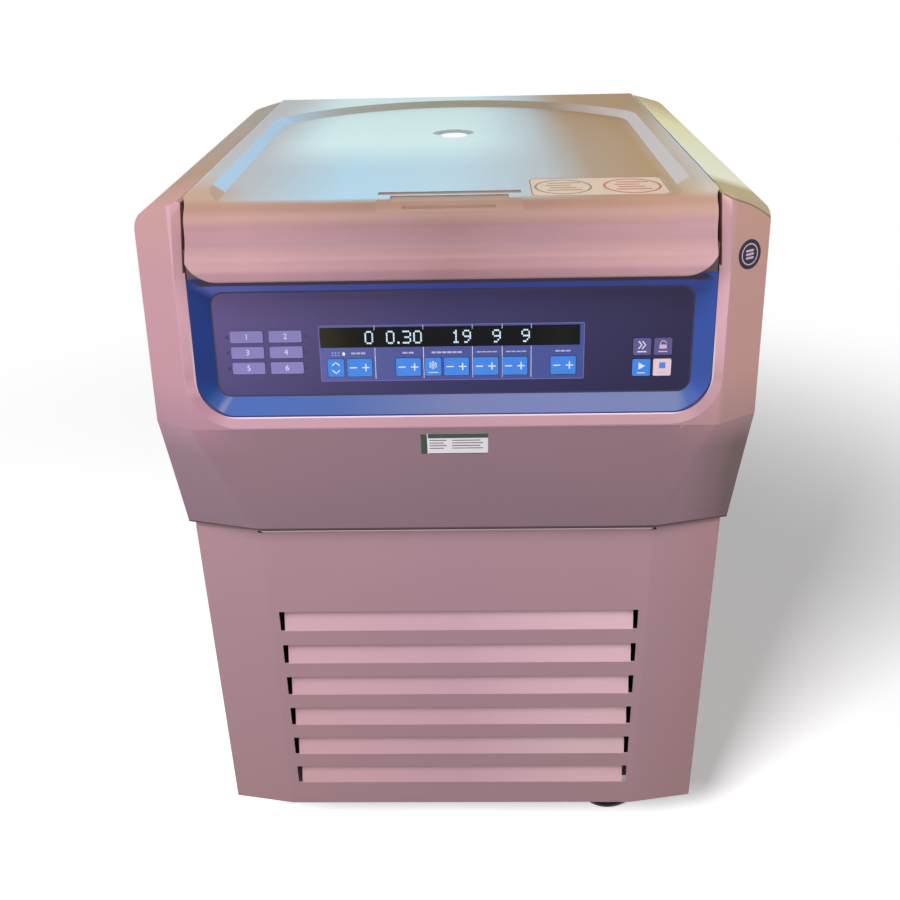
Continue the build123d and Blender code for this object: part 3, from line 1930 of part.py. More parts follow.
with BuildPart() as strut_rods:
    for side in (-1, 1):
        eye_start = strut_vector.length - (strut_eye_radius + strut_pin_radius) / 2
        bar(strut_point(side, strut_rod_start), strut_point(side, eye_start), strut_rod_radius)
        eye = strut_point(side, strut_vector.length)
        bar(
            eye - Vector(strut_eye_half_width, 0, 0),
            eye + Vector(strut_eye_half_width, 0, 0),
            strut_eye_radius,
        )
        bar(
            eye - Vector(2 * strut_eye_half_width, 0, 0),
            eye + Vector(2 * strut_eye_half_width, 0, 0),
            strut_pin_radius,
            Mode.SUBTRACT,
        )
finish(strut_rods.part, "strut_rods")

# ------------------------------------------------------------------ latch
# One shaft with two hooks, standing open by the rest angle
rest = math.radians(latch_rest_angle)


def latch_point(y, z):
    """A point of the closed hook, turned to where it stands at rest."""
    return (
        latch_y + (y - latch_y) * math.cos(rest) - (z - latch_z) * math.sin(rest),
        latch_z + (y - latch_y) * math.sin(rest) + (z - latch_z) * math.cos(rest),
    )


with BuildPart() as latch_hooks:
    shaft_end = latch_x + latch_hook_width + latch_ear_width + latch_shaft_overhang
    bar((-shaft_end, latch_y, latch_z), (shaft_end, latch_y, latch_z), latch_shaft_radius)
    nose_z = latch_bar_z + latch_bar_radius + latch_nose_gap
    for side in (-1, 1):
        hook_x = side * latch_x - latch_hook_width / 2
        extrude(
            outline(
                Plane.YZ.offset(hook_x),
                latch_point(latch_y - latch_arm / 2, latch_z),
                latch_point(latch_y - latch_arm / 2, nose_z + latch_nose_height),
                latch_point(latch_bar_y, nose_z + latch_nose_height),
                latch_point(latch_bar_y + latch_nose_slope, nose_z),
                latch_point(latch_y + latch_arm / 2, nose_z),
                latch_point(latch_y + latch_arm / 2, latch_z),
            ),
            amount=latch_hook_width,
        )
        bar(
            (hook_x, latch_y, latch_z),
            (hook_x + latch_hook_width, latch_y, latch_z),
            latch_shaft_radius + latch_boss,
        )
finish(latch_hooks.part, "latch_hooks")

# ------------------------------------------------------------------ cooling
# Condenser block with its tube bends, fan shroud and motor bracket
condenser_back_y = condenser_front_y + condenser_depth
condenser_bottom = tray_top + seat_gap
fan_ring_radius = fan_radius + fan_ring_gap
fan_motor_front_y = fan_front_y + fan_depth + fan_motor_gap
with BuildPart() as condenser:
    block(
        -condenser_half_width,
        condenser_half_width,
        condenser_front_y,
        condenser_back_y,
        condenser_bottom,
        condenser_top_z,
    )
    groove_step = (condenser_top_z - condenser_bottom - 2 * fin_edge) / fin_groove_count
    for groove in range(fin_groove_count):
        groove_z = condenser_bottom + fin_edge + groove * groove_step
        block(
            -condenser_half_width + fin_edge,
            condenser_half_width - fin_edge,
            condenser_front_y,
            condenser_front_y + fin_groove_depth,
            groove_z,
            groove_z + fin_groove_width,
            Mode.SUBTRACT,
        )
    bend_step = (condenser_top_z - condenser_bottom - 2 * tube_bend_edge) / tube_bend_count
    for bend in range(tube_bend_count):
        bend_z = condenser_bottom + tube_bend_edge + (bend + 0.5) * bend_step
        for side in (-1, 1):
            bend_x = side * condenser_half_width
            bend_y = condenser_front_y + tube_bend_depth
            with Locations(Plane(origin=(bend_x, bend_y, bend_z), z_dir=(0, 1, 0))):
                Torus(tube_bend_radius, tube_radius)
    with Locations(Plane(origin=(0, condenser_back_y, fan_z), z_dir=(0, 1, 0))):
        Cylinder(
            fan_ring_radius + fan_ring_wall,
            fan_ring_depth,
            align=(Align.CENTER, Align.CENTER, Align.MIN),
        )
    with Locations(Plane(origin=(0, condenser_back_y - fan_pocket, fan_z), z_dir=(0, 1, 0))):
        Cylinder(
            fan_ring_radius,
            fan_ring_depth + 2 * fan_pocket,
            align=(Align.CENTER, Align.CENTER, Align.MIN),
            mode=Mode.SUBTRACT,
        )
    bar(
        (0, fan_motor_front_y, fan_z),
        (0, fan_motor_front_y + fan_motor_length, fan_z),
        fan_motor_radius,
    )
    strap_reach = fan_ring_radius + fan_strap_overhang
    strap_back_y = fan_motor_front_y + 2 * fan_strap_thickness
    block(
        -fan_strap_half_width,
        fan_strap_half_width,
        strap_back_y - fan_strap_thickness,
        strap_back_y,
        fan_z - strap_reach,
        fan_z + strap_reach,
    )
    for side in (-1, 1):
        foot_z = fan_z + side * strap_reach
        block(
            -fan_strap_half_width,
            fan_strap_half_width,
            condenser_back_y,
            strap_back_y,
            min(foot_z, foot_z - side * fan_strap_thickness),
            max(foot_z, foot_z - side * fan_strap_thickness),
        )
    bar(
        (0, fan_motor_front_y, fan_z),
        (0, fan_motor_front_y + fan_bore_depth, fan_z),
        fan_shaft_radius + running_clearance,
        Mode.SUBTRACT,
    )
finish(condenser.part, "condenser")

with BuildPart() as fan_rotor:
    fan_middle_y = fan_front_y + fan_depth / 2
    bar((0, fan_front_y, fan_z), (0, fan_front_y + fan_depth, fan_z), fan_hub_radius)
    fillet(fan_rotor.faces().sort_by(Axis.Y)[0].edges(), fan_hub_round)
    for blade in range(fan_blade_count):
        turn = 360.0 / fan_blade_count * blade
        reach_plane = Plane(
            origin=(0, fan_middle_y, fan_z),
            x_dir=(math.cos(math.radians(turn)), 0, math.sin(math.radians(turn))),
            z_dir=(0, 1, 0),
        )
        blade_middle = (fan_hub_radius + fan_radius) / 2 - fan_blade_root
        with Locations(reach_plane * Location((blade_middle, 0, 0), (fan_blade_pitch, 0, 0))):
            Box(fan_radius - fan_hub_radius, fan_blade_chord, fan_blade_thickness)
    bar(
        (0, fan_middle_y, fan_z),
        (0, fan_motor_front_y + fan_bore_depth - fan_shaft_end_gap, fan_z),
        fan_shaft_radius,
    )
finish(fan_rotor.part, "fan_rotor")

# Compressor pot on four rubber feet
with BuildPart() as compressor:
    pot_top = compressor_base_z + compressor_height
    drum(compressor_x, compressor_y, compressor_base_z, pot_top, compressor_radius)
    fillet(compressor.faces().sort_by(Axis.Z)[-1].edges(), compressor_shoulder)
    fillet(compressor.faces().sort_by(Axis.Z)[0].edges(), compressor_foot_round)
    seam_z = compressor_base_z + compressor_seam_share * compressor_height
    drum(
        compressor_x,
        compressor_y,
        seam_z,
        seam_z + compressor_seam_height,
        compressor_radius + compressor_seam_overhang,
    )
    foot_reach = compressor_radius - compressor_plate_inset
    block(
        compressor_x - foot_reach,
        compressor_x + foot_reach,
        compressor_y - foot_reach,
        compressor_y + foot_reach,
        compressor_base_z,
        compressor_base_z + compressor_plate_thickness,
    )
    for side_x in (-1, 1):
        for side_y in (-1, 1):
            drum(
                compressor_x + side_x * (foot_reach - compressor_foot_inset),
                compressor_y + side_y * (foot_reach - compressor_foot_inset),
                tray_top + seat_gap,
                compressor_base_z,
                compressor_foot_radius,
            )
    drum(
        -riser_offset,
        riser_offset,
        pot_top - coil_port_sink,
        port_top_z,
        coil_tube_radius + coil_port_wall,
    )
finish(compressor.part, "compressor")

# ------------------------------------------------------------------ rear services
# Appliance inlet and the housing of the main switch with its pivot pin, snapped into the rear panel
rocker_pivot_y = cabinet_rear_y - rocker_pivot_depth
flange_face_y = cabinet_rear_y + inlet_flange_thickness
with BuildPart() as power_inlet:
    for middle, half_x, half_z, depth in (
        (inlet_x, inlet_half_width, inlet_half_height, inlet_depth),
        (rocker_x, switch_half_width, switch_half_height, switch_depth),
    ):
        block(
            middle - half_x,
            middle + half_x,
            cabinet_rear_y - depth,
            flange_face_y,
            inlet_z - half_z,
            inlet_z + half_z,
        )
        block(
            middle - half_x - inlet_flange,
            middle + half_x + inlet_flange,
            cabinet_rear_y + seat_gap,
            flange_face_y,
            inlet_z - half_z - inlet_flange,
            inlet_z + half_z + inlet_flange,
        )
    block(
        inlet_x - inlet_half_width + inlet_wall,
        inlet_x + inlet_half_width - inlet_wall,
        cabinet_rear_y - inlet_depth + inlet_floor,
        flange_face_y,
        inlet_z - inlet_half_height + inlet_wall,
        inlet_z + inlet_half_height - inlet_wall,
        Mode.SUBTRACT,
    )
    for pin_x, pin_z in inlet_pins:
        block(
            inlet_x + pin_x - inlet_pin_half_width,
            inlet_x + pin_x + inlet_pin_half_width,
            cabinet_rear_y - inlet_depth,
            cabinet_rear_y - inlet_pin_recess,
            inlet_z + pin_z - inlet_pin_half_height,
            inlet_z + pin_z + inlet_pin_half_height,
        )
    block(
        rocker_x - rocker_space_half_width,
        rocker_x + rocker_space_half_width,
        cabinet_rear_y - switch_depth + switch_wall,
        flange_face_y,
        inlet_z - rocker_space_half_height,
        inlet_z + rocker_space_half_height,
        Mode.SUBTRACT,
    )
    bar(
        (rocker_x - switch_half_width, rocker_pivot_y, inlet_z),
        (rocker_x + switch_half_width, rocker_pivot_y, inlet_z),
        rocker_pin_radius,
    )
finish(power_inlet.part, "power_inlet")

# Main switch rocker, resting on its lower contact: its lower half stands out
rocker_turn = math.radians(rocker_angle)
rocker_end = rocker_face + rocker_half_height * math.tan(rocker_turn)
with BuildPart() as power_rocker:
    rocker_plane = Plane(
        origin=(rocker_x - rocker_half_width, rocker_pivot_y, inlet_z),
        x_dir=(0, math.cos(rocker_turn), math.sin(rocker_turn)),
        z_dir=(1, 0, 0),
    )
    extrude(
        outline(
            rocker_plane,
            (-rocker_tail, -rocker_tail_half),
            (rocker_end, -rocker_half_height),
            (rocker_face, 0),
            (rocker_end, rocker_half_height),
            (-rocker_tail, rocker_tail_half),
        ),
        amount=2 * rocker_half_width,
    )
    bar(
        (rocker_x - rocker_half_width, rocker_pivot_y, inlet_z),
        (rocker_x + rocker_half_width, rocker_pivot_y, inlet_z),
        rocker_pin_radius + running_clearance,
        Mode.SUBTRACT,
    )
finish(power_rocker.part, "power_rocker")

# Panel screws: heads outside the panels, shanks through them into the frame's posts
with BuildPart() as cover_screws:
    for face_point, inward in screw_axes():
        face = Vector(*face_point)
        way_in = Vector(*inward)
        bar(face - way_in * (seat_gap + screw_head_height), face - way_in * seat_gap, screw_head_radius)
        bar(face - way_in * seat_gap, face + way_in * screw_length, screw_shank_radius)
finish(cover_screws.part, "cover_screws")
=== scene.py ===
import json
import math

import bmesh
import bpy
from mathutils import Matrix, Vector

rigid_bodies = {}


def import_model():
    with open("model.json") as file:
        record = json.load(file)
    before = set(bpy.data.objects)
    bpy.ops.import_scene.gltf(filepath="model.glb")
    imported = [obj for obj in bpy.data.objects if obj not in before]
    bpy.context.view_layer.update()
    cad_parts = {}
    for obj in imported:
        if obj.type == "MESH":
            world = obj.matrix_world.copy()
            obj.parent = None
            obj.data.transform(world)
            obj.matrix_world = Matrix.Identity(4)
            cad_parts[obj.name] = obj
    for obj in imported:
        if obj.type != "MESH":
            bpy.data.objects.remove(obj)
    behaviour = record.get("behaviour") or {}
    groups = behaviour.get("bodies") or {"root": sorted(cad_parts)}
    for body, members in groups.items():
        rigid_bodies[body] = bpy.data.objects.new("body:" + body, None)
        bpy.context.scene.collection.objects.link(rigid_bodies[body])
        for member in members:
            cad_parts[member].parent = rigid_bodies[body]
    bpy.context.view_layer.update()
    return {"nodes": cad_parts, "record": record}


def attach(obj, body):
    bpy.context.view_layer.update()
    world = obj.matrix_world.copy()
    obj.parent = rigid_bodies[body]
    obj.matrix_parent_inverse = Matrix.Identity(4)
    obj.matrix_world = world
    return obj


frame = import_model()
nodes = frame["nodes"]
scene = bpy.context.scene


# ------------------------------------------------------------------ places, most of them read from the frame
def extent(node, view=Matrix()):
    """Lowest and highest corner of a node, seen from a frame of reference."""
    points = [view @ vertex.co for vertex in nodes[node].data.vertices]
    return [Vector(pick(point[k] for point in points) for k in range(3)) for pick in (min, max)]


MM = 0.001
fascia_low, _ = extent("front_fascia")
cover_low, cover_high = extent("lower_front_cover")
port_low, port_high = extent("viewport_glass")
HOUSING_FOOT = fascia_low.z
COVER_TOP = cover_high.z
PORT_Y = (port_low.y + port_high.y) / 2
CREASE = 0.637  # height where the leaning console meets the apron
FOOT_SET_BACK = 0.024  # how far the apron's foot lies behind the crease
RECESS_FLOOR = 0.866  # height of the shallow recess in the lid
GRIP_HALF, DEEP_GRIP_HALF = 0.071, 0.045  # half widths of the lid's stepped grip
LEAN = math.radians(7.5)  # of the console, from upright

console = Matrix(((1, 0, 0), (0, math.sin(LEAN), -math.cos(LEAN)), (0, math.cos(LEAN), math.sin(LEAN)))).to_4x4()
console.translation = (0, fascia_low.y, CREASE)
FALL = math.atan2(FOOT_SET_BACK, CREASE - HOUSING_FOOT)
apron = Matrix(((1, 0, 0), (0, -math.sin(FALL), -math.cos(FALL)), (0, math.cos(FALL), -math.sin(FALL)))).to_4x4()
apron.translation = console.translation
lid_floor = Matrix.Translation((0, 0, RECESS_FLOOR))
cover_front = Matrix(((1, 0, 0), (0, 0, -1), (0, 1, 0))).to_4x4()
cover_front.translation = (0, cover_low.y, 0)

# ------------------------------------------------------------------ camera
YAW, PITCH, ROLL = (math.radians(a) for a in (-1.626209, 27.2163, -1.360473))
CAMERA_PLACE = (0.023376, -1.2913, 1.105198)
forward = Vector((math.sin(YAW) * math.cos(PITCH), math.cos(YAW) * math.cos(PITCH), -math.sin(PITCH)))
level_right = Vector((math.cos(YAW), -math.sin(YAW), 0.0))
level_up = level_right.cross(forward)
cam_right = math.cos(ROLL) * level_right + math.sin(ROLL) * level_up
cam_up = -math.sin(ROLL) * level_right + math.cos(ROLL) * level_up
camera_data = bpy.data.cameras.new("camera")
camera_data.lens = 41.1215
camera_data.sensor_width = 36.0
camera_data.clip_start = 0.05
camera = bpy.data.objects.new("camera", camera_data)
scene.collection.objects.link(camera)
basis = Matrix((cam_right, cam_up, -forward)).transposed().to_4x4()
camera.matrix_world = Matrix.Translation(CAMERA_PLACE) @ basis
scene.camera = camera
scene.view_settings.view_transform = "Standard"


# ------------------------------------------------------------------ light
def area_light(name, place, target, size, power):
    data = bpy.data.lights.new(name, "AREA")
    data.shape = "RECTANGLE"
    data.size, data.size_y = size
    data.energy = power
    light = bpy.data.objects.new(name, data)
    scene.collection.objects.link(light)
    light.location = place
    aim = Vector(target) - Vector(place)
    light.rotation_euler = aim.to_track_quat("-Z", "Y").to_euler()
    return light


area_light("overhead", (-0.2, -2.0, 3.2), (0, -0.2, 0.6), (1.8, 1.8), 74)
area_light("left_fill", (-3.0, -1.8, 1.7), (0, 0, 0.5), (1.6, 1.6), 37)
area_light("right_fill", (3.0, -1.8, 1.7), (0, 0, 0.5), (1.6, 1.6), 24)
area_light("front_fill", (0.0, -3.6, 1.3), (0, 0, 0.4), (2.4, 1.2), 14)
area_light("rear_light", (-0.9, 2.8, 2.3), (0, 0, 0.85), (2.4, 1.4), 6)
floor_light = area_light("floor_light", (-1.85, -2.75, 2.75), (0, 0, 0.3), (1.5, 1.5), 205)

SKY_LEVEL = 0.08
WHITE = (1, 1, 1, 1)
world = bpy.data.worlds.new("studio")
scene.world = world
world.use_nodes = True
sky = world.node_tree.nodes["Background"]
sky.inputs["Color"].default_value = WHITE
sky.inputs["Strength"].default_value = SKY_LEVEL
seen = world.node_tree.nodes.new("ShaderNodeBackground")
seen.inputs["Color"].default_value = WHITE


def direct_view(tree):
    """1 for camera, glossy and transmission rays: these see the white background, the rest only its light."""
    path = tree.nodes.new("ShaderNodeLightPath")
    flags = [path.outputs[name] for name in ("Is Camera Ray", "Is Glossy Ray", "Is Transmission Ray")]
    value = flags[0]
    for flag in flags[1:]:
        either = tree.nodes.new("ShaderNodeMath")
        either.operation = "MAXIMUM"
        tree.links.new(value, either.inputs[0])
        tree.links.new(flag, either.inputs[1])
        value = either.outputs[0]
    return value


mix = world.node_tree.nodes.new("ShaderNodeMixShader")
link = world.node_tree.links.new
link(direct_view(world.node_tree), mix.inputs["Fac"])
link(sky.outputs["Background"], mix.inputs[1])
link(seen.outputs["Background"], mix.inputs[2])
link(mix.outputs["Shader"], world.node_tree.nodes["World Output"].inputs["Surface"])


# ------------------------------------------------------------------ materials
def srgb(r, g, b, light=1.0):
    """Linear colour of a surface that shows as r, g, b where the light on it is the given level."""
    out = []
    for v in (r, g, b):
        v /= 255.0
        v = v / 12.92 if v <= 0.04045 else ((v + 0.055) / 1.055) ** 2.4
        out.append(min(v / light, 0.95))
    return tuple(out)


class Finish:
    """A procedural material: Principled BSDF with helpers for its nodes. Colours are linear r, g, b."""

    def __init__(self, name, color, roughness=0.5, metallic=0.0, coat=0.0, specular=0.5):
        self.mat = bpy.data.materials.new(name)
        self.mat.use_nodes = True
        self.tree = self.mat.node_tree
        self.bsdf = self.tree.nodes["Principled BSDF"]
        self.feed(self.bsdf.inputs["Base Color"], color)
        self.bsdf.inputs["Roughness"].default_value = roughness
        self.bsdf.inputs["Metallic"].default_value = metallic
        self.bsdf.inputs["Coat Weight"].default_value = coat
        self.bsdf.inputs["Specular IOR Level"].default_value = specular
        self.where = None
        self.parts = {}

    def node(self, kind, **values):
        made = self.tree.nodes.new(kind)
        for key, value in values.items():
            if key in made.inputs.keys():
                made.inputs[key].default_value = value
            else:
                setattr(made, key, value)
        return made

    def link(self, a, b):
        self.tree.links.new(a, b)

    def feed(self, socket, value):
        """Links a socket to an input, or writes a number or a colour there."""
        if isinstance(value, bpy.types.NodeSocket):
            self.link(value, socket)
        elif isinstance(value, tuple):
            socket.default_value = (*value[:3], 1.0)
        else:
            socket.default_value = value

    def source(self, output="Object"):
        if self.where is None:
            self.where = self.node("ShaderNodeTexCoord")
        return self.where.outputs[output]

    def split(self, output):
        """The x, y and z parts of the object coordinates or of the surface normal."""
        if output not in self.parts:
            made = self.node("ShaderNodeSeparateXYZ")
            self.link(self.source(output), made.inputs["Vector"])
            self.parts[output] = tuple(made.outputs)
        return self.parts[output]

    def stretched(self, scale):
        mapping = self.node("ShaderNodeMapping", Scale=scale)
        self.link(self.source(), mapping.inputs["Vector"])
        return mapping.outputs["Vector"]

    def span(self, value, start, end, smooth=True):
        """0 up to start and 1 past end; with start above end, 1 on the low side."""
        ramp = self.node("ShaderNodeMapRange")
        ramp.interpolation_type = "SMOOTHSTEP" if smooth else "LINEAR"
        ramp.inputs["From Min"].default_value = start
        ramp.inputs["From Max"].default_value = end
        self.link(value, ramp.inputs["Value"])
        return ramp.outputs["Result"]

    def math(self, operation, *values):
        """A Math node; each value is a socket or a number."""
        made = self.node("ShaderNodeMath", operation=operation)
        for socket, value in zip(made.inputs, values):
            self.feed(socket, value)
        return made.outputs[0]

    def product(self, *values):
        result = values[0]
        for value in values[1:]:
            result = self.math("MULTIPLY", result, value)
        return result

    def zone(self, *limits):
        """1 where every limit holds: each is a mask, or a value with the start and end of its span."""
        return self.product(*(self.span(*limit) if isinstance(limit, tuple) else limit for limit in limits))

    def root_of_squares(self, a, b):
        return self.math("SQRT", self.math("ADD", self.product(a, a), self.product(b, b)))

    def ramp(self, value, *stops):
        """Colours along a value: each stop is a position and r, g, b."""
        low, high = stops[0][0], stops[-1][0]
        made = self.node("ShaderNodeValToRGB")
        elements = made.color_ramp.elements
        while len(elements) < len(stops):
            elements.new(0.5)
        for element, (at, *color) in zip(elements, stops):
            element.position = (at - low) / (high - low)
            element.color = (*color, 1.0)
        self.link(self.span(value, low, high, smooth=False), made.inputs["Fac"])
        return made.outputs["Color"]

    def blend(self, share, a, b, mode="MIX"):
        """Goes from colour a to colour b by a share; each is a socket or a plain colour."""
        mixer = self.node("ShaderNodeMix", data_type="RGBA", blend_type=mode)
        for socket, value in ((mixer.inputs[0], share), (mixer.inputs[6], a), (mixer.inputs[7], b)):
            self.feed(socket, value)
        return mixer.outputs[2]

    def times(self, a, b):
        return self.blend(1.0, a, b, "MULTIPLY")

    def colour(self, socket):
        self.link(socket, self.bsdf.inputs["Base Color"])
        return self

    def present(self):
        links = self.bsdf.inputs["Base Color"].links
        return links[0].from_socket if links else tuple(self.bsdf.inputs["Base Color"].default_value)

    def noise(self, scale, stretch=(1, 1, 1), detail=3.0):
        made = self.node("ShaderNodeTexNoise", Scale=scale, Detail=detail)
        self.link(self.stretched(stretch), made.inputs["Vector"])
        return made.outputs["Fac"]

    def speckle(self, amount, scale, stretch=(1, 1, 1), detail=3.0):
        """Varies the colour by a soft noise: amount is its share of the brightness."""
        change = self.node("ShaderNodeMapRange")
        for key, value in (("From Min", 0.3), ("From Max", 0.7), ("To Min", 1 - amount), ("To Max", 1 + amount)):
            change.inputs[key].default_value = value
        self.link(self.noise(scale, stretch, detail), change.inputs["Value"])
        return self.colour(self.times(self.present(), change.outputs["Result"]))

    def bump(self, strength, distance, scale, stretch=(1, 1, 1)):
        bump = self.node("ShaderNodeBump", Strength=strength, Distance=distance)
        self.link(self.noise(scale, stretch, 2.0), bump.inputs["Height"])
        self.link(bump.outputs["Normal"], self.bsdf.inputs["Normal"])
        return self

    def rough(self, low, high, scale):
        ramp = self.node("ShaderNodeMapRange")
        ramp.inputs["To Min"].default_value = low
        ramp.inputs["To Max"].default_value = high
        self.link(self.noise(scale), ramp.inputs["Value"])
        self.link(ramp.outputs["Result"], self.bsdf.inputs["Roughness"])
        return self

    def glow(self, color, strength):
        self.feed(self.bsdf.inputs["Emission Color"], color)
        self.bsdf.inputs["Emission Strength"].default_value = strength
        return self


# Paint of the housing and the cabinet: pinkish grey, warmer at the right, with painted shade below the crease of the
# front.
# In all the paints, x runs across to the right, y along to the rear and z up, in metres.
def cabinet_colour(paint, sheet):
    """The cabinet: darker towards the floor, with painted light on its louvres' up-facing slopes."""
    across, _, height = paint.split("Object")
    upward = paint.split("Normal")[2]
    fading = paint.ramp(height, (0.08, 0.85, 0.82, 0.79), (0.35, 0.94, 0.94, 0.95), (0.48, 1.03, 1.03, 1.02))
    lower = paint.times(sheet, fading)
    # painted light: the louvre slopes that face up are made lighter, as the lamp above lights them
    lit_louvre_flap = paint.zone((upward, 0.10, 0.20), (height, 0.45, 0.42))
    flap_painted_light = paint.ramp(across, (-0.2, 1.62, 1.68, 1.62), (0.0, 1.58, 1.63, 1.63), (0.15, 1.80, 2.02, 1.92))
    return paint.blend(lit_louvre_flap, lower, paint.times(lower, flap_painted_light))


def housing_colour(paint, sheet):
    """The housing: pink in front, warmer at the right and the top, and like the cabinet towards the rear."""
    across, along, height = paint.split("Object")
    front = paint.ramp(
        across, (-0.30, 0.545, 0.278, 0.335), (0.24, 0.53, 0.285, 0.30), (0.30, 0.555, 0.296, 0.266)
    )
    front = paint.times(front, paint.ramp(height, (0.78, 1, 1, 1), (0.87, 1.03, 1.06, 0.86)))
    return paint.blend(paint.span(along, -0.10, -0.26), paint.blend(0.5, sheet, front), front)


def pillar_colour(paint, upper, inner_side):
    """The pillars' inner sides: painted light on the slopes, and painted shade on the walls beside the lid. Painted
    shade just above the crease.
    """
    _, along, height = paint.split("Object")
    # painted light: the inner slopes are lightened, as they face away from the lamps
    lit_inner_slope = paint.ramp(height, (0.68, 0.64, 0.345, 0.41), (0.76, 0.72, 0.41, 0.475), (0.85, 0.80, 0.475, 0.51))
    upper = paint.blend(inner_side, upper, lit_inner_slope)
    facing_in = paint.span(paint.split("Normal")[0], 0.85, 0.95)
    # painted shade: dark walls in the gap beside the lid
    shaded_wall = paint.zone(inner_side, facing_in, (height, 0.74, 0.76))
    upper = paint.blend(shaded_wall, upper, (0.20, 0.09, 0.12))
    # painted shade: the pillars darken just above the crease, easing into the shaded apron
    crease_shade = paint.zone((height, CREASE + 0.063, CREASE - 0.007), (along, -0.26, -0.28))
    return paint.blend(crease_shade, upper, paint.times(upper, (0.76, 0.78, 0.85)))


def apron_colour(paint, upper, outward):
    """The apron below the crease: painted shade, darkest at its right end, with a painted shadow line along its foot.
    """
    across, along, height = paint.split("Object")
    facing_x, _, upward = paint.split("Normal")
    # painted shade: the apron faces down, away from the lamps, and its colour is darkened for it
    shade = paint.ramp(
        across,
        (-0.30, 0.275, 0.145, 0.20), (-0.22, 0.285, 0.160, 0.202), (0.0, 0.262, 0.148, 0.193),
        (0.25, 0.272, 0.152, 0.188), (0.285, 0.190, 0.106, 0.118), (0.30, 0.125, 0.072, 0.074),
    )
    shade = paint.times(shade, paint.ramp(height, (0.50, 0.88, 0.88, 0.90), (0.62, 1.06, 1.06, 1.05)))
    # painted light on the right end's facet
    lit_right_facet = paint.zone((facing_x, 0.1, 0.3), (across, 0.0, 0.1))
    shade = paint.blend(lit_right_facet, shade, paint.times(shade, (1.13, 1.12, 1.11)))
    # painted light: a lighter band where the apron turns up into the pillars
    crease_light_turn = paint.zone((height, CREASE - 0.039, CREASE + 0.003), (outward, 0.20, 0.29))
    shade = paint.blend(crease_light_turn, shade, paint.ramp(across, (-0.3, 0.43, 0.215, 0.30), (0.3, 0.40, 0.215, 0.235)))
    shaded_overhang = paint.zone((upward, -0.05, -0.10), (along, -0.24, -0.26))
    upper = paint.blend(shaded_overhang, upper, shade)
    # painted shadow: a dark line along the apron's foot, above the cabinet
    foot = paint.span(height, HOUSING_FOOT + 0.0026, HOUSING_FOOT + 0.0019)
    return paint.blend(paint.product(shaded_overhang, foot), upper, (0.030, 0.006, 0.014))


# The raised ring round the console opening, found by its distance from a rounded frame on the leaning front
RING_HALF, RING_CORNER, RING_FOOT = 0.276, 0.052, 0.6385
RING_LINE, BEZEL_LINE = 0.0433, 0.0412  # where the ring's inner edge and the bezel's outer edge lie
EDGE = 0.0004  # half the softness of a painted line's edge


def frame_reach(finish, outward, height):
    """Distance from the centres of that frame's rounded corners, the corner radius on its edge."""
    side = finish.math("MAXIMUM", finish.math("SUBTRACT", outward, RING_HALF - RING_CORNER), 0.0)
    foot = finish.math("MAXIMUM", finish.math("SUBTRACT", RING_FOOT + RING_CORNER, height), 0.0)
    return finish.root_of_squares(side, foot)


def ring_colour(paint, upper, outward, inner_side):
    """The ring in painted light and shade, lighter on its sides than on its foot, with a painted highlight line along
    its inner edge.
    """
    across, along, height = paint.split("Object")
    reach = frame_reach(paint, outward, height)
    in_ring = paint.zone(
        (reach, RING_CORNER + 0.0006, RING_CORNER - 0.0006),
        (height, CREASE - 0.0005, CREASE + 0.0005), (along, -0.28, -0.29),
    )
    foot = paint.ramp(across, (-0.25, 0.45, 0.225, 0.285), (0.0, 0.385, 0.183, 0.232), (0.24, 0.44, 0.232, 0.266))
    side = paint.ramp(across, (-0.27, 0.66, 0.345, 0.42), (0.27, 0.53, 0.29, 0.305))
    # painted light and shade: one paint, lighter where the ring faces sideways than where it faces up
    ring = paint.blend(paint.span(paint.split("Normal")[2], 0.2, 0.4), side, foot)
    upper = paint.blend(paint.zone(in_ring, (inner_side, 0.6, 0.4)), upper, ring)
    # painted highlight: a light line along the ring's inner edge
    highlight_rim = paint.math("ADD", paint.product(paint.span(height, 0.70, 0.65), 0.0014), RING_LINE)
    line = paint.span(paint.math("SUBTRACT", reach, highlight_rim), EDGE, -EDGE)
    return paint.blend(paint.zone(line, in_ring, (height, 0.76, 0.70)), upper, (0.75, 0.60, 0.69))


def shoulder_colour(paint, upper):
    """The casing's shoulders beside the lid, matt at the left; the brown at the left and the pale to dark ochre at the
    right are painted light on the up-facing body paint.
    """
    across, along, height = paint.split("Object")
    left = paint.ramp(along, (-0.27, 0.57, 0.30, 0.26), (-0.15, 0.43, 0.26, 0.17), (0.2, 0.38, 0.32, 0.27))
    right = paint.ramp(
        along,
        (-0.250, 0.36, 0.27, 0.06), (-0.210, 0.86, 0.85, 0.64), (-0.08, 0.86, 0.86, 0.60),
        (0.12, 0.86, 0.80, 0.38), (0.32, 0.45, 0.28, 0.04),
    )
    # painted light: up-facing shoulders take these colours in place of the pink paint
    painted_top_light = paint.zone((paint.split("Normal")[2], 0.45, 0.8), (height, 0.80, 0.84))
    at_left = paint.zone(painted_top_light, (across, 0.1, -0.1))
    for socket, plain, loss in (("Specular IOR Level", 0.5, 0.44), ("Coat Weight", 0.1, 0.1)):
        paint.link(paint.math("SUBTRACT", plain, paint.product(at_left, loss)), paint.bsdf.inputs[socket])
    return paint.blend(painted_top_light, upper, paint.blend(paint.span(across, -0.1, 0.1), left, right))


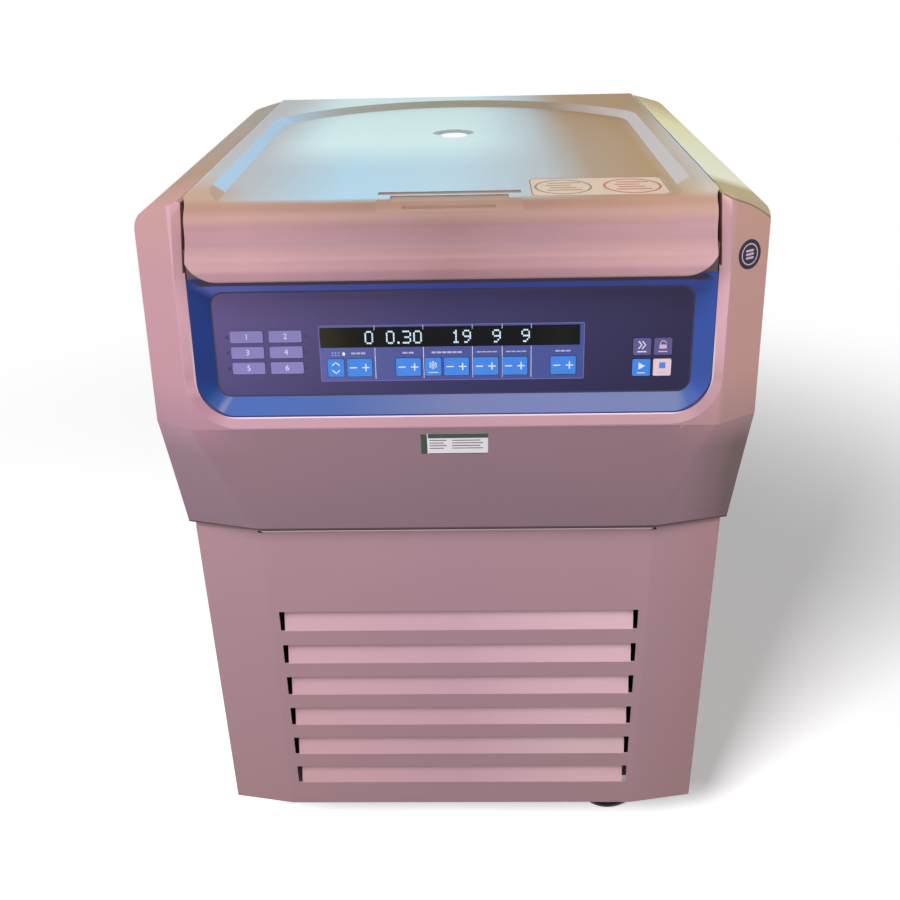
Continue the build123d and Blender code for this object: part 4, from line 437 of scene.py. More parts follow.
def edge_colour(paint, upper, outward):
    """Painted shade in the seam beside the lid, and a painted highlight on the rounded top edge of the right pillar
    with a painted shade line below it.
    """
    across, along, height = paint.split("Object")
    # painted shade: a dark band where the gap between lid and pillar lies in shadow
    seam_shade = paint.math("ADD", outward, paint.product(height, 0.068))
    seam_shade = paint.zone(
        (seam_shade, 0.3224, 0.3216), (height, 0.797, 0.799), (along, -0.24, -0.25)
    )
    upper = paint.blend(seam_shade, upper, (0.085, 0.030, 0.028))
    droop = paint.math("MAXIMUM", paint.math("SUBTRACT", across, 0.285), 0.0)
    fall = paint.math("ADD", height, paint.product(across, 0.42))
    fall = paint.math("ADD", fall, paint.product(droop, droop, 6.0))
    on_front = paint.zone(
        (across, 0.262, 0.266), (paint.split("Normal")[2], 0.45, 0.35),
        (along, -0.262, -0.27),
    )
    # painted highlight on the pillar's rounded top edge
    top_edge_highlight = paint.zone(on_front, (fall, 0.9777, 0.9783))
    upper = paint.blend(top_edge_highlight, upper, (0.49, 0.41, 0.25))
    # painted shade: a brown line under that edge
    line = paint.zone(on_front, (fall, 0.9764, 0.9770), (fall, 0.9788, 0.9782))
    return paint.blend(line, upper, (0.27, 0.155, 0.095))


def body_finish():
    paint = Finish("body_paint", (0.42, 0.235, 0.275), 0.46, coat=0.1)
    paint.bsdf.inputs["Coat Roughness"].default_value = 0.3
    across, along, height = paint.split("Object")
    outward = paint.math("ABSOLUTE", across)
    inner_side = paint.zone(
        (paint.product(across, paint.split("Normal")[0]), -0.02, -0.06),
        (along, -0.24, -0.26), (height, 0.66, 0.72),
    )
    sheet = paint.ramp(
        across,
        (-0.30, 0.42, 0.235, 0.274), (0.0, 0.385, 0.222, 0.270),
        (0.22, 0.41, 0.235, 0.274), (0.29, 0.39, 0.212, 0.236),
    )
    upper = housing_colour(paint, sheet)
    upper = pillar_colour(paint, upper, inner_side)
    upper = apron_colour(paint, upper, outward)
    upper = ring_colour(paint, upper, outward, inner_side)
    upper = shoulder_colour(paint, upper)
    upper = edge_colour(paint, upper, outward)
    in_housing = paint.span(height, HOUSING_FOOT - 0.0035, HOUSING_FOOT - 0.0005)
    paint.colour(paint.blend(in_housing, cabinet_colour(paint, sheet), upper))
    return paint.speckle(0.012, 9.0).bump(0.10, 0.0004, 900.0)


# Paint of the lid: satin metallic; the pale blue in the middle of the top and the tan at the right and on the front
# roll are painted reflections, with painted light and shade besides
def lid_top_colour(paint):
    across, along, height = paint.split("Object")
    facing_x, facing_y, _ = paint.split("Normal")
    # painted reflections: the blue and tan across the top
    top = paint.ramp(
        across,
        (-0.262, 0.45, 0.45, 0.45), (-0.200, 0.42, 0.47, 0.51), (-0.110, 0.39, 0.67, 0.84),
        (0.000, 0.45, 0.68, 0.80), (0.100, 0.45, 0.52, 0.56), (0.150, 0.375, 0.262, 0.16),
        (0.215, 0.39, 0.225, 0.07), (0.252, 0.56, 0.50, 0.44),
    )
    # painted sheen: a pale reflection over the left and middle of the top
    painted_lid_sheen = paint.zone(
        (along, -0.17, 0.02), (across, 0.13, 0.0), (across, -0.25, -0.14)
    )
    # painted shade at the rear right of the top
    shaded = paint.zone((along, -0.10, 0.24), (across, 0.10, 0.18))
    front_left = paint.zone((along, -0.20, -0.27), (across, -0.195, -0.235))
    arc = paint.ramp(
        across,
        (-0.23, 0.42, 0.54, 0.66), (-0.15, 0.35, 0.35, 0.30), (-0.04, 0.285, 0.275, 0.225),
        (0.13, 0.31, 0.23, 0.16), (0.23, 0.54, 0.51, 0.51),
    )
    # painted light and shade: the recess walls take tones by the way they face
    in_recess = paint.zone(
        (height, RECESS_FLOOR - 0.0005, RECESS_FLOOR + 0.0005), (along, -0.255, -0.245)
    )
    layers = (
        (painted_lid_sheen, (0.69, 0.94, 0.95)),
        (shaded, (0.34, 0.19, 0.05)),
        (front_left, (0.50, 0.34, 0.25)),
        (paint.zone(in_recess, (facing_x, 0.25, 0.5)), (0.45, 0.70, 0.92)),
        (paint.zone(in_recess, (facing_x, -0.25, -0.5)), (0.54, 0.50, 0.51)),
        (paint.zone(in_recess, (facing_y, -0.2, -0.45)), arc),
    )
    for mask, color in layers:
        top = paint.blend(mask, top, color)
    return top


def lid_roll_colour(paint):
    """The rolled front edge: painted light and shade in bands up its height, duller in the middle."""
    across, _, height = paint.split("Object")
    roll = paint.ramp(
        height,
        (0.802, 0.49, 0.27, 0.32), (0.812, 0.53, 0.295, 0.325), (0.822, 0.48, 0.262, 0.278),
        (0.831, 0.385, 0.205, 0.235), (0.841, 0.45, 0.245, 0.285), (0.851, 0.445, 0.247, 0.235),
        (0.861, 0.43, 0.246, 0.19), (0.872, 0.49, 0.29, 0.185),
    )
    share = paint.ramp(
        across,
        (-0.20, 1, 1, 1), (-0.07, 0.78, 0.77, 0.78), (0.0, 0.685, 0.655, 0.63),
        (0.10, 0.84, 0.83, 0.82), (0.20, 1.05, 1.07, 1.0), (0.25, 1.12, 1.18, 1.14),
    )
    return paint.times(roll, share)


def grip_colour(paint, under):
    """The stepped grip at the front of the lid: brown floors, painted shade on the walls and a painted highlight on the
    front edge.
    """
    across, along, height = paint.split("Object")
    outward = paint.math("ABSOLUTE", across)
    in_grip = paint.zone(
        (outward, GRIP_HALF + 0.0005, GRIP_HALF - 0.0005), (along, -0.256, -0.260),
        (height, RECESS_FLOOR - 0.0002, RECESS_FLOOR - 0.0005), (along, -0.3090, -0.3065),
    )
    grip = paint.ramp(along, (-0.302, 0.37, 0.225, 0.17), (-0.278, 0.38, 0.25, 0.17), (-0.262, 0.33, 0.27, 0.235))
    steep = paint.span(paint.math("ABSOLUTE", paint.split("Normal")[2]), 0.7, 0.4)
    # painted shade on the steep walls
    shaded_wall = paint.zone(steep, (height, RECESS_FLOOR - 0.0020, RECESS_FLOOR - 0.0014))
    grip = paint.blend(shaded_wall, grip, (0.25, 0.17, 0.13))
    # painted highlight on the front edge
    lit_edge = paint.zone(
        (along, -0.3000, -0.3008), (height, RECESS_FLOOR - 0.0034, RECESS_FLOOR - 0.0028),
        (outward, DEEP_GRIP_HALF + 0.0005, DEEP_GRIP_HALF - 0.0005),
    )
    grip = paint.blend(lit_edge, grip, (0.50, 0.33, 0.28))
    return paint.blend(in_grip, under, grip)


def lid_finish():
    paint = Finish("lid_paint", (0.45, 0.48, 0.50), 0.45, specular=0.3)
    across, along, _ = paint.split("Object")
    lid = paint.blend(paint.span(along, -0.285, -0.299), lid_top_colour(paint), lid_roll_colour(paint))
    lid = grip_colour(paint, lid)
    off_x = paint.math("ADD", across, 0.0008)
    off_y = paint.math("SUBTRACT", along, PORT_Y + 0.0065)
    port_rim = paint.span(paint.root_of_squares(off_x, off_y), 0.0268, 0.0255)
    port_rim = paint.zone(port_rim, (along, PORT_Y, PORT_Y + 0.007))
    lid = paint.blend(port_rim, lid, (0.30, 0.35, 0.36))
    underside = paint.zone((paint.split("Normal")[2], -0.3, -0.6), (along, -0.298, -0.290))
    paint.colour(paint.blend(underside, lid, (0.34, 0.20, 0.23)))
    return paint.speckle(0.018, 30.0, (1, 6, 1), 4.0).bump(0.10, 0.0003, 700.0, (1, 5, 1))


def deck_finish():
    """The chamber's deck, with painted shade on the front face below the lid's lip."""
    plain = srgb(118, 108, 112)
    deck = Finish("deck_paint", plain, 0.5)
    # painted shade under the lid's lip
    front = deck.span(deck.split("Object")[1], -0.290, -0.297)
    deck.colour(deck.blend(front, plain, (0.105, 0.062, 0.078)))
    return deck.speckle(0.03, 20.0).bump(0.12, 0.0004, 800.0)


def bezel_finish():
    """The moulded bezel in painted light and shade: the slope below the panel is the lightest, the left one the
    darkest, by the way each faces.
    """
    bezel = Finish("bezel_blue", (0.05, 0.09, 0.36), 0.3, specular=0.3)
    across, _, height = bezel.split("Object")
    upward = bezel.split("Normal")[2]
    # painted light on the slope below the panel, with a painted sheen near its right corner
    foot = bezel.ramp(
        across,
        (-0.23, 0.072, 0.142, 0.475), (-0.12, 0.083, 0.142, 0.395), (0.0, 0.20, 0.214, 0.375),
        (0.232, 0.215, 0.25, 0.41), (0.246, 0.06, 0.12, 0.37),
    )
    fold = bezel.math("SUBTRACT", across, bezel.product(bezel.math("SUBTRACT", height, 0.659), 0.66))
    # painted sheen: a pale band at the lower left corner
    painted_corner_sheen = bezel.zone(
        (fold, -0.2465, -0.2425), (fold, -0.2335, -0.2380), (height, 0.672, 0.664)
    )
    foot = bezel.blend(painted_corner_sheen, foot, (0.25, 0.27, 0.46))
    left = bezel.ramp(height, (0.66, 0.004, 0.060, 0.27), (0.69, 0.002, 0.022, 0.17), (0.79, 0.002, 0.028, 0.21))
    right = bezel.ramp(height, (0.66, 0.048, 0.095, 0.40), (0.69, 0.030, 0.073, 0.31), (0.79, 0.028, 0.080, 0.39))
    # painted light and shade: each slope gets its own tone by which way it faces
    sides = bezel.blend(bezel.span(across, -0.1, 0.1), left, right)
    sloped = bezel.blend(bezel.span(upward, 0.25, 0.6), sides, foot)
    top = bezel.ramp(
        across,
        (-0.24, 0.13, 0.16, 0.62), (-0.13, 0.075, 0.12, 0.59),
        (0.0, 0.035, 0.063, 0.50), (0.24, 0.045, 0.078, 0.44),
    )
    outline = bezel.math("ADD", bezel.product(bezel.span(height, 0.70, 0.65), 0.0013), BEZEL_LINE)
    reach = frame_reach(bezel, bezel.math("ABSOLUTE", across), height)
    outline = bezel.span(bezel.math("SUBTRACT", reach, outline), -0.0003, 0.0003)
    sloped = bezel.blend(outline, sloped, (0.035, 0.025, 0.12))
    downward = bezel.span(upward, 0.02, -0.2)
    # painted shadow: a dark band on the bezel's top, under the lid's lip
    under_lip_shadow = bezel.zone((height, 0.7822, 0.7836), downward)
    painted = bezel.blend(downward, sloped, top)
    bezel.colour(bezel.blend(under_lip_shadow, painted, (0.030, 0.012, 0.045)))
    return bezel.speckle(0.02, 6.0).bump(0.03, 0.0003, 400.0)


def panel_finish():
    """The violet overlay, paler towards the left and the top."""
    panel = Finish("panel_violet", (0.06, 0.05, 0.16), 0.36, specular=0.2)
    across, _, height = panel.split("Object")
    shade = panel.ramp(
        across,
        (-0.228, 0.137, 0.098, 0.262), (-0.12, 0.094, 0.071, 0.20),
        (0.0, 0.053, 0.044, 0.15), (0.23, 0.029, 0.023, 0.078),
    )
    rise = panel.ramp(
        height, (0.67, 0.56, 0.63, 0.66), (0.72, 0.74, 0.78, 0.80), (0.757, 1, 1, 1), (0.775, 1.35, 1.3, 1.3)
    )
    return panel.colour(panel.times(shade, rise)).speckle(0.02, 8.0).bump(0.05, 0.0002, 1400.0)


def display_finish():
    """The black window, with two faint brown painted reflections near its ends."""
    display = Finish("display_black", (0.003, 0.004, 0.005), 0.16, specular=0.12)
    return display.colour(display.ramp(
        display.split("Object")[0],
        (-0.1355, 0.032, 0.027, 0.012), (-0.105, 0.009, 0.008, 0.004), (-0.086, 0.004, 0.004, 0.005),
        (0.084, 0.003, 0.003, 0.005), (0.112, 0.008, 0.007, 0.006), (0.1305, 0.003, 0.005, 0.005),
    )).speckle(0.06, 20.0)


def violet_key_finish():
    """The program keys' violet, which is darker on the keys at the right."""
    key = Finish("key_violet", (0.24, 0.19, 0.47), 0.38, coat=0.1)
    at_right = key.span(key.split("Object")[0], 0.1, 0.15)
    key.colour(key.blend(at_right, (0.225, 0.19, 0.465), (0.075, 0.065, 0.215)))
    return key.speckle(0.03, 60.0).bump(0.05, 0.0002, 1500.0)


KEY_GRAIN, INK_GRAIN = (0.05, 0.0002, 1500.0), (0.05, 0.0001, 2000.0)
polished = Finish("polished_steel", srgb(206, 206, 208), 0.12, 1.0).speckle(0.03, 80.0).rough(0.08, 0.18, 120.0)
# painted reflection: the port glass glows a little, in place of the white surroundings it reflects
glass_painted_glow = Finish("port_glass", srgb(252, 253, 253, 0.9), 0.05, coat=0.4).speckle(0.01, 30.0).glow((1, 1, 1), 0.14)
finish_of = {
    "painted_body": body_finish(), "lid_paint": lid_finish(), "deck_paint": deck_finish(),
    "bezel_blue": bezel_finish(), "panel_violet": panel_finish(), "display_black": display_finish(),
    "key_violet": violet_key_finish(), "polished_steel": polished, "port_glass": glass_painted_glow,
}

# The rest: colour, roughness, metallic and coat, then the arguments of the speckle and of the bump
PLAIN = {
    "key_blue": ((0.035, 0.215, 0.74), 0.34, 0.0, 0.1, (0.03, 60.0), KEY_GRAIN),
    "key_pale": ((0.76, 0.58, 0.65), 0.36, 0.0, 0.1, (0.02, 60.0), KEY_GRAIN),
    "stainless": (srgb(196, 196, 196), 0.28, 1.0, 0.0, (0.05, 40.0, (1, 1, 60)), (0.08, 0.0003, 300.0, (1, 1, 12))),
    "zinc_steel": (srgb(150, 150, 148), 0.42, 1.0, 0.0, (0.10, 60.0), (0.10, 0.0003, 500.0)),
    "rubber": (srgb(26, 26, 27), 0.75, 0.0, 0.0, (0.08, 60.0), (0.15, 0.0005, 900.0)),
    "wheel_rubber": (srgb(48, 47, 49), 0.6, 0.0, 0.0, (0.08, 60.0), (0.12, 0.0005, 700.0)),
    "copper": (srgb(196, 124, 92), 0.3, 1.0, 0.0, (0.1, 50.0), (0.06, 0.0003, 300.0)),
    "foam": (srgb(226, 214, 178), 0.9, 0.0, 0.0, (0.06, 80.0), (0.4, 0.002, 220.0)),
    "motor_casting": (srgb(140, 142, 146), 0.5, 0.8, 0.0, (0.06, 70.0), (0.25, 0.0008, 500.0)),
    "compressor_paint": (srgb(24, 24, 26), 0.3, 0.0, 0.4, (0.05, 30.0), (0.06, 0.0005, 200.0)),
    "fin_aluminium": (srgb(110, 110, 114), 0.5, 1.0, 0.0, (0.10, 90.0), (0.10, 0.0003, 600.0)),
    "frame_steel": (srgb(58, 54, 58), 0.5, 0.0, 0.0, (0.04, 40.0), (0.12, 0.0004, 900.0)),
    "black_metal": (srgb(22, 22, 24), 0.3, 0.0, 0.3, (0.05, 60.0), (0.05, 0.0003, 600.0)),
    "black_plastic": (srgb(30, 30, 32), 0.5, 0.0, 0.0, (0.06, 90.0), (0.15, 0.0003, 1600.0)),
    "liner_grey": (srgb(112, 110, 114), 0.55, 0.0, 0.0, (0.04, 60.0), (0.12, 0.0003, 1400.0)),
    "rotor_anodised": (srgb(62, 63, 68), 0.35, 0.9, 0.0, (0.05, 90.0), (0.05, 0.0003, 900.0)),
    "carrier_aluminium": (srgb(170, 172, 176), 0.4, 1.0, 0.0, (0.05, 90.0), (0.08, 0.0003, 900.0)),
}
for name, (color, roughness, metallic, coat, speckles, bumps) in PLAIN.items():
    finish_of[name] = Finish(name, color, roughness, metallic, coat).speckle(*speckles).bump(*bumps)
for part in frame["record"]["subparts"]:
    target = nodes[part["node"]]
    target.data.materials.clear()
    target.data.materials.append(finish_of[part["material_slot"]].mat)


# Printing inks, label stocks, the paints of the small trims, and a painted highlight strip
def printing_ink(name, color, grain=0.03, scale=300.0, roughness=0.5):
    return Finish(name, color, roughness).speckle(grain, scale).bump(*INK_GRAIN)


ink = printing_ink("ink_white", srgb(226, 226, 240))
soft_ink = printing_ink("ink_pale", srgb(176, 178, 214))
blue_ink = printing_ink("ink_blue", srgb(70, 128, 216), roughness=0.45)
mauve_ink = printing_ink("ink_mauve", srgb(206, 180, 206))
dark_ink = printing_ink("ink_dark", srgb(36, 30, 64), 0.05)
border_ink = printing_ink("ink_brown", srgb(86, 66, 52), 0.05, 200.0)
olive_ink = printing_ink("ink_olive", srgb(128, 122, 98), 0.04, 200.0)
red_ink = printing_ink("ink_red", srgb(176, 74, 62), 0.04, 200.0)
green_ink = printing_ink("ink_green", srgb(30, 58, 40), 0.05, 200.0)
edge_ink = printing_ink("ink_violet", (0.15, 0.125, 0.38), roughness=0.45)
field_blue = Finish("overlay_blue", srgb(78, 90, 156), 0.36, coat=0.2)
field_blue.colour(field_blue.ramp(
    field_blue.split("Object")[0],
    (-0.136, 0.075, 0.085, 0.30), (-0.05, 0.042, 0.055, 0.25), (0.136, 0.026, 0.045, 0.25),
)).speckle(0.02, 30.0).bump(0.04, 0.0002, 1500.0)
lit_dots = Finish("display_dots", srgb(196, 216, 232), 0.4).speckle(0.02, 400.0).glow(srgb(190, 212, 232), 0.35)
lens = Finish("indicator_lens", srgb(44, 40, 72), 0.25, coat=0.4).speckle(0.05, 200.0)
cream = Finish("label_cream", srgb(232, 200, 168, 1.2), 0.42, coat=0.2).speckle(0.02, 60.0).bump(0.04, 0.0002, 1500.0)
label_white = Finish("label_white", srgb(214, 208, 214, 0.75), 0.45, coat=0.15)
label_white.speckle(0.02, 80.0).bump(0.04, 0.0002, 1500.0)
# painted highlight: light pink for the lit fold along the top of the lower cover
painted_highlight_pink = Finish("painted_highlight_pink", (0.92, 0.77, 0.80), 0.45, coat=0.1).speckle(0.02, 120.0).bump(*KEY_GRAIN)
disc_dark = Finish("disc_dark", (0.012, 0.008, 0.020), 0.4, specular=0.25)
disc_dark.speckle(0.05, 80.0).bump(0.05, 0.0002, 900.0)
wing_paint = Finish("wing_strip", (0.34, 0.19, 0.215), 0.5).speckle(0.02, 40.0).bump(0.08, 0.0003, 900.0)


# ------------------------------------------------------------------ flat printed pieces, in millimetres on a plane
def pad(u0, u1, v0, v1, corner=0.0, steps=6):
    """A rectangle with rounded corners, as a loop of points."""
    if corner <= 0:
        return [(u0, v0), (u1, v0), (u1, v1), (u0, v1)]
    left, right, low, high = u0 + corner, u1 - corner, v0 + corner, v1 - corner
    loop = []
    for cu, cv, start in ((right, low, -90), (right, high, 0), (left, high, 90), (left, low, 180)):
        for step in range(steps + 1):
            angle = math.radians(start + 90 * step / steps)
            loop.append((cu + corner * math.cos(angle), cv + corner * math.sin(angle)))
    return loop


def grown(box, by):
    """A box of u0, u1, v0, v1, larger by a margin on each side."""
    u0, u1, v0, v1 = box
    return u0 - by, u1 + by, v0 - by, v1 + by


def ring_loop(u, v, radius_u, radius_v=None, steps=48):
    radius_v = radius_v or radius_u
    turns = [2 * math.pi * k / steps for k in range(steps)]
    return [(u + radius_u * math.cos(turn), v + radius_v * math.sin(turn)) for turn in turns]


def stroke(points, width):
    """A line of the given width along straight runs, one loop for each run, with a little overlap at the joints."""
    loops = []
    for (u0, v0), (u1, v1) in zip(points, points[1:]):
        length = math.hypot(u1 - u0, v1 - v0)
        du, dv = (u1 - u0) / length, (v1 - v0) / length
        nu, nv = -dv * width / 2, du * width / 2
        eu, ev = du * width * 0.35, dv * width * 0.35
        loops.append([
            (u0 - eu + nu, v0 - ev + nv), (u0 - eu - nu, v0 - ev - nv),
            (u1 + eu - nu, v1 + ev - nv), (u1 + eu + nu, v1 + ev + nv),
        ])
    return loops


def plus(u, v, reach=3.9, half=0.62):
    lower = [(-reach, -half), (-half, -half), (-half, -reach), (half, -reach), (half, -half), (reach, -half)]
    return [(u + way * du, v + way * dv) for way in (1, -1) for du, dv in lower]


def single(loops):
    return [[loop] for loop in loops]


def add_piece(name, mesh, finish, body):
    mesh.materials.clear()
    mesh.materials.append(finish.mat)
    piece = bpy.data.objects.new(name, mesh)
    scene.collection.objects.link(piece)
    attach(piece, body)


def printed(name, groups, plane, lift, finish, body="cabinet", thick=0.06):
    """Thin flat shapes on a plane. Each group is an outer loop followed by its holes, in millimetres."""
    mesh = bpy.data.meshes.new(name)
    shape = bmesh.new()
    for group in groups:
        curve = bpy.data.curves.new("outline", "CURVE")
        curve.dimensions = "2D"
        curve.fill_mode = "BOTH"
        curve.extrude = thick * MM / 2
        for loop in group:
            spline = curve.splines.new("POLY")
            spline.points.add(len(loop) - 1)
            for point, (u, v) in zip(spline.points, loop):
                point.co = (u * MM, v * MM, 0, 1)
            spline.use_cyclic_u = True
        holder = bpy.data.objects.new("outline", curve)
        filled = bpy.data.meshes.new_from_object(holder)
        shape.from_mesh(filled)
        bpy.data.objects.remove(holder)
        bpy.data.curves.remove(curve)
        bpy.data.meshes.remove(filled)
    shape.to_mesh(mesh)
    shape.free()
    mesh.transform(plane @ Matrix.Translation((0, 0, (lift + thick / 2) * MM)))
    add_piece(name, mesh, finish, body)


def numeral(name, text, u, v, body):
    """A plain number on a key."""
    curve = bpy.data.curves.new(name, "FONT")
    curve.body = text
    curve.size = 8.4 * MM
    curve.align_x = "CENTER"
    curve.align_y = "CENTER"
    curve.extrude = 0.03 * MM
    holder = bpy.data.objects.new("holder", curve)
    mesh = bpy.data.meshes.new_from_object(holder)
    bpy.data.objects.remove(holder)
    bpy.data.curves.remove(curve)
    mesh.name = name
    mesh.transform(console @ Matrix.Translation((u * MM, v * MM, (KEY_FACE + 0.05) * MM)))
    add_piece(name, mesh, ink, body)


# ------------------------------------------------------------------ panel printing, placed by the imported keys
def console_box(node):
    """A node's u0, u1, v0, v1 on the console, in millimetres, and the height of its face."""
    low, high = extent(node, console.inverted())
    return [round(value / MM, 3) for value in (low.x, high.x, low.y, high.y, high.z)]


def middle(key):
    """The centre of a key's face."""
    u0, u1, v0, v1, _ = console_box(key)
    return (u0 + u1) / 2, (v0 + v1) / 2


*PANEL, PANEL_FACE = console_box("control_panel")
*WINDOW, _ = console_box("display_window")
KEY_FACE = console_box("key_mode")[-1]
FIRST_INK, SECOND_INK = PANEL_FACE + 0.02, PANEL_FACE + 0.09  # on the panel, and on the blue field
WINDOW_INK, KEY_INK = PANEL_FACE + 0.03, KEY_FACE + 0.02
KEY_CLEARANCE = 0.5
FIELD = (-136.8, 135.5, 46.9, 106.2)  # the blue field round the window and the row of keys below it
PLUS_MINUS_KEYS = ("key_speed", "key_time", "key_temperature", "key_acceleration", "key_deceleration", "key_bucket")

holes = [
    pad(*grown(console_box(key)[:4], KEY_CLEARANCE), 1.8)
    for key in ("key_mode", "key_speed", "key_time", "key_precool", *PLUS_MINUS_KEYS[2:])
]
field = [pad(*FIELD, 1.6), pad(*grown(WINDOW, 0.3)), *holes]
printed("display_field", [field], console, FIRST_INK, field_blue)
field_edge = [field[0], pad(*grown(FIELD, -0.8), 1.0)]
printed("display_field_edge", [field_edge], console, SECOND_INK, edge_ink)
panel_edge = [pad(*grown(PANEL, -0.2), 13.8, 10), pad(*grown(PANEL, -1.5), 12.5, 10)]
printed("panel_edge_line", [panel_edge], console, FIRST_INK, dark_ink)

# A divider stands a little to the right of each of these keys, with the figures of its value left of it
DIVIDER_GAPS = {
    "key_speed": 3.5, "key_time": 3.0, "key_temperature": 3.7, "key_acceleration": 4.0, "key_deceleration": 3.7,
}
VALUES = ("0", "0.30", "19", "9", "9")
DIVIDER_HALF = 0.28
dividers = [console_box(key)[1] + gap for key, gap in DIVIDER_GAPS.items()]
lines = [pad(u - DIVIDER_HALF, u + DIVIDER_HALF, 49.5, 82.4) for u in dividers]
printed("display_dividers", single(lines), console, SECOND_INK, ink)
ticks = [pad(u - DIVIDER_HALF, u + DIVIDER_HALF, 100.8, 105.6) for u in dividers]
printed("display_ticks", single(ticks), console, SECOND_INK, ink)

# Captions above the keys as broken bars: middle, width and height of each
CAPTIONS = (
    (-96.5, 15.5, 1.9), (-45.0, 12.5, 1.9), (-5.2, 32.0, 1.9), (36.0, 21.5, 1.2), (66.0, 21.5, 1.2), (114.0, 16.5, 1.6),
)
CAPTION_V, WORD_LENGTH, WORD_SHARE = 76.6, 5.5, 0.86
bars = []
for centre, width, height in CAPTIONS:
    words = max(2, round(width / WORD_LENGTH))
    pitch = width / words
    for k in range(words):
        left = centre - width / 2 + k * pitch
        right = left + pitch * WORD_SHARE
        bars.append(pad(left, right, CAPTION_V - height / 2, CAPTION_V + height / 2, height * 0.3, 3))
for k in range(3):
    left = -124.5 + k * 3.2
    bars.append(pad(left, left + 1.8, 76.9, 77.9))
    bars.append(pad(left, left + 1.8, 74.2, 75.2))
printed("display_captions", single(bars), console, SECOND_INK, soft_ink)
printed("mode_lamp", [[ring_loop(-112.0, 76.2, 1.5, 1.9, 20)]], console, SECOND_INK, lit_dots)

# Dot-matrix figures
DOTS = {
    "0": ("01110", "10001", "10001", "10001", "10001", "10001", "01110"),
    "1": ("00100", "01100", "00100", "00100", "00100", "00100", "01110"),
    "3": ("11110", "00001", "00001", "01110", "00001", "00001", "11110"),
    "9": ("01110", "10001", "10001", "01111", "00001", "00010", "01100"),
}
STEP_U, STEP_V, DOT = 1.78, 1.98, 1.5
FIGURE_FOOT, FIGURE_GAP = 86.3, 2.1
POINT, POINT_SET, POINT_ROOM = 2.2, 3.4, 6.0


def figures(text, right):
    """The lit dots of a number that ends at the right."""
    loops = []
    u = right
    for mark in reversed(text):
        if mark == ".":
            left = u - POINT_SET
            loops.append(pad(left, left + POINT, FIGURE_FOOT, FIGURE_FOOT + POINT))
            u -= POINT_ROOM
            continue
        for row, line in enumerate(DOTS[mark]):
            for column, lit in enumerate(line):
                if lit == "1":
                    left = u - (5 - column) * STEP_U
                    low = FIGURE_FOOT + (6 - row) * STEP_V
                    loops.append(pad(left, left + DOT, low, low + DOT + 0.2))
        u -= 5 * STEP_U + FIGURE_GAP
    return loops


dots = []
for text, divider in zip(VALUES, dividers):
    dots += figures(text, divider - 1.1)
printed("display_figures", single(dots), console, WINDOW_INK, lit_dots)

# Program keys: numbers 1 to 6, in rows of two from the top, with an indicator beside each
program_keys = [f"key_program_{index}" for index in range(1, 7)]
left_edge, right_edge = console_box(program_keys[0])[0], console_box(program_keys[1])[1]
rows = [middle(key)[1] for key in program_keys[::2]]
lamps = [ring_loop(u, v, 1.5, 1.8, 20) for u in (left_edge - 3.2, right_edge + 3.6) for v in rows]
printed("program_lamps", single(lamps), console, FIRST_INK, lens, thick=0.4)


# Signs on the keys
def sign(key, loops, finish=ink):
    printed("sign_" + key, single(loops), console, KEY_INK, finish, key)


for key in PLUS_MINUS_KEYS:
    u, v = middle(key)
    sign(key, [pad(u - 10.2, u - 2.8, v - 0.62, v + 0.62), plus(u + 6.4, v)])
u, v = middle("key_mode")
chevrons = []
for way in (1, -1):
    chevrons += stroke([(u - 3.6, v + way * 2.6), (u, v + way * 6.0), (u + 3.6, v + way * 2.6)], 1.1)
sign("key_mode", chevrons)

u, v = middle("key_precool")
flake_v = v + 1.8
flake = []
for k in range(6):
    angle = math.radians(60 * k + 30)
    du, dv = math.cos(angle), math.sin(angle)
    flake += stroke([(u + 0.8 * du, flake_v + 0.8 * dv), (u + 4.3 * du, flake_v + 4.3 * dv)], 0.8)
    for side in (-1, 1):
        bend = angle + side * math.radians(55)
        fork = (u + 2.4 * du, flake_v + 2.4 * dv)
        flake += stroke([fork, (fork[0] + 1.7 * math.cos(bend), fork[1] + 1.7 * math.sin(bend))], 0.6)
flake.append(pad(u - 5.0, u + 5.0, v - 6.4, v - 5.6))
sign("key_precool", flake)

u, v = middle("key_pulse")
arrows = []
for tip in (u - 2.6, u + 1.2):
    arrows += stroke([(tip - 0.8, v + 5.4), (tip + 2.4, v + 1.6), (tip - 0.8, v - 2.2)], 1.15)
arrows.append(pad(u - 4.6, u + 4.6, v - 6.0, v - 4.8))
sign("key_pulse", arrows)
u, v = middle("key_open_lid")
lock = [pad(u - 3.7, u + 3.7, v - 2.4, v + 1.8, 0.5, 3), pad(u - 4.6, u + 4.6, v - 6.0, v - 4.8)]
shackle = [(u - 2.6, v + 2.2), (u - 2.6, v + 4.0), (u - 1.2, v + 5.8), (u + 1.2, v + 5.8), (u + 3.2, v + 3.6)]
lock += stroke(shackle, 0.9)
sign("key_open_lid", lock, mauve_ink)
u, v = middle("key_start")
triangle = [(u - 2.8, v - 2.2), (u + 4.0, v + 1.6), (u - 2.8, v + 5.4)]
sign("key_start", [triangle, pad(u - 4.2, u + 4.2, v - 6.2, v - 5.3)])
u, v = middle("key_stop")
sign("key_stop", [pad(u - 3.1, u + 3.3, v - 1.0, v + 5.2, 0.3, 3)], blue_ink)
caption = [pad(u - 3.8, u + 4.0, v - 6.2, v - 5.3)]
printed("caption_key_stop", single(caption), console, KEY_INK, mauve_ink, "key_stop")
for index, key in enumerate(program_keys, 1):
    numeral(f"numeral_{index}", str(index), *middle(key), key)

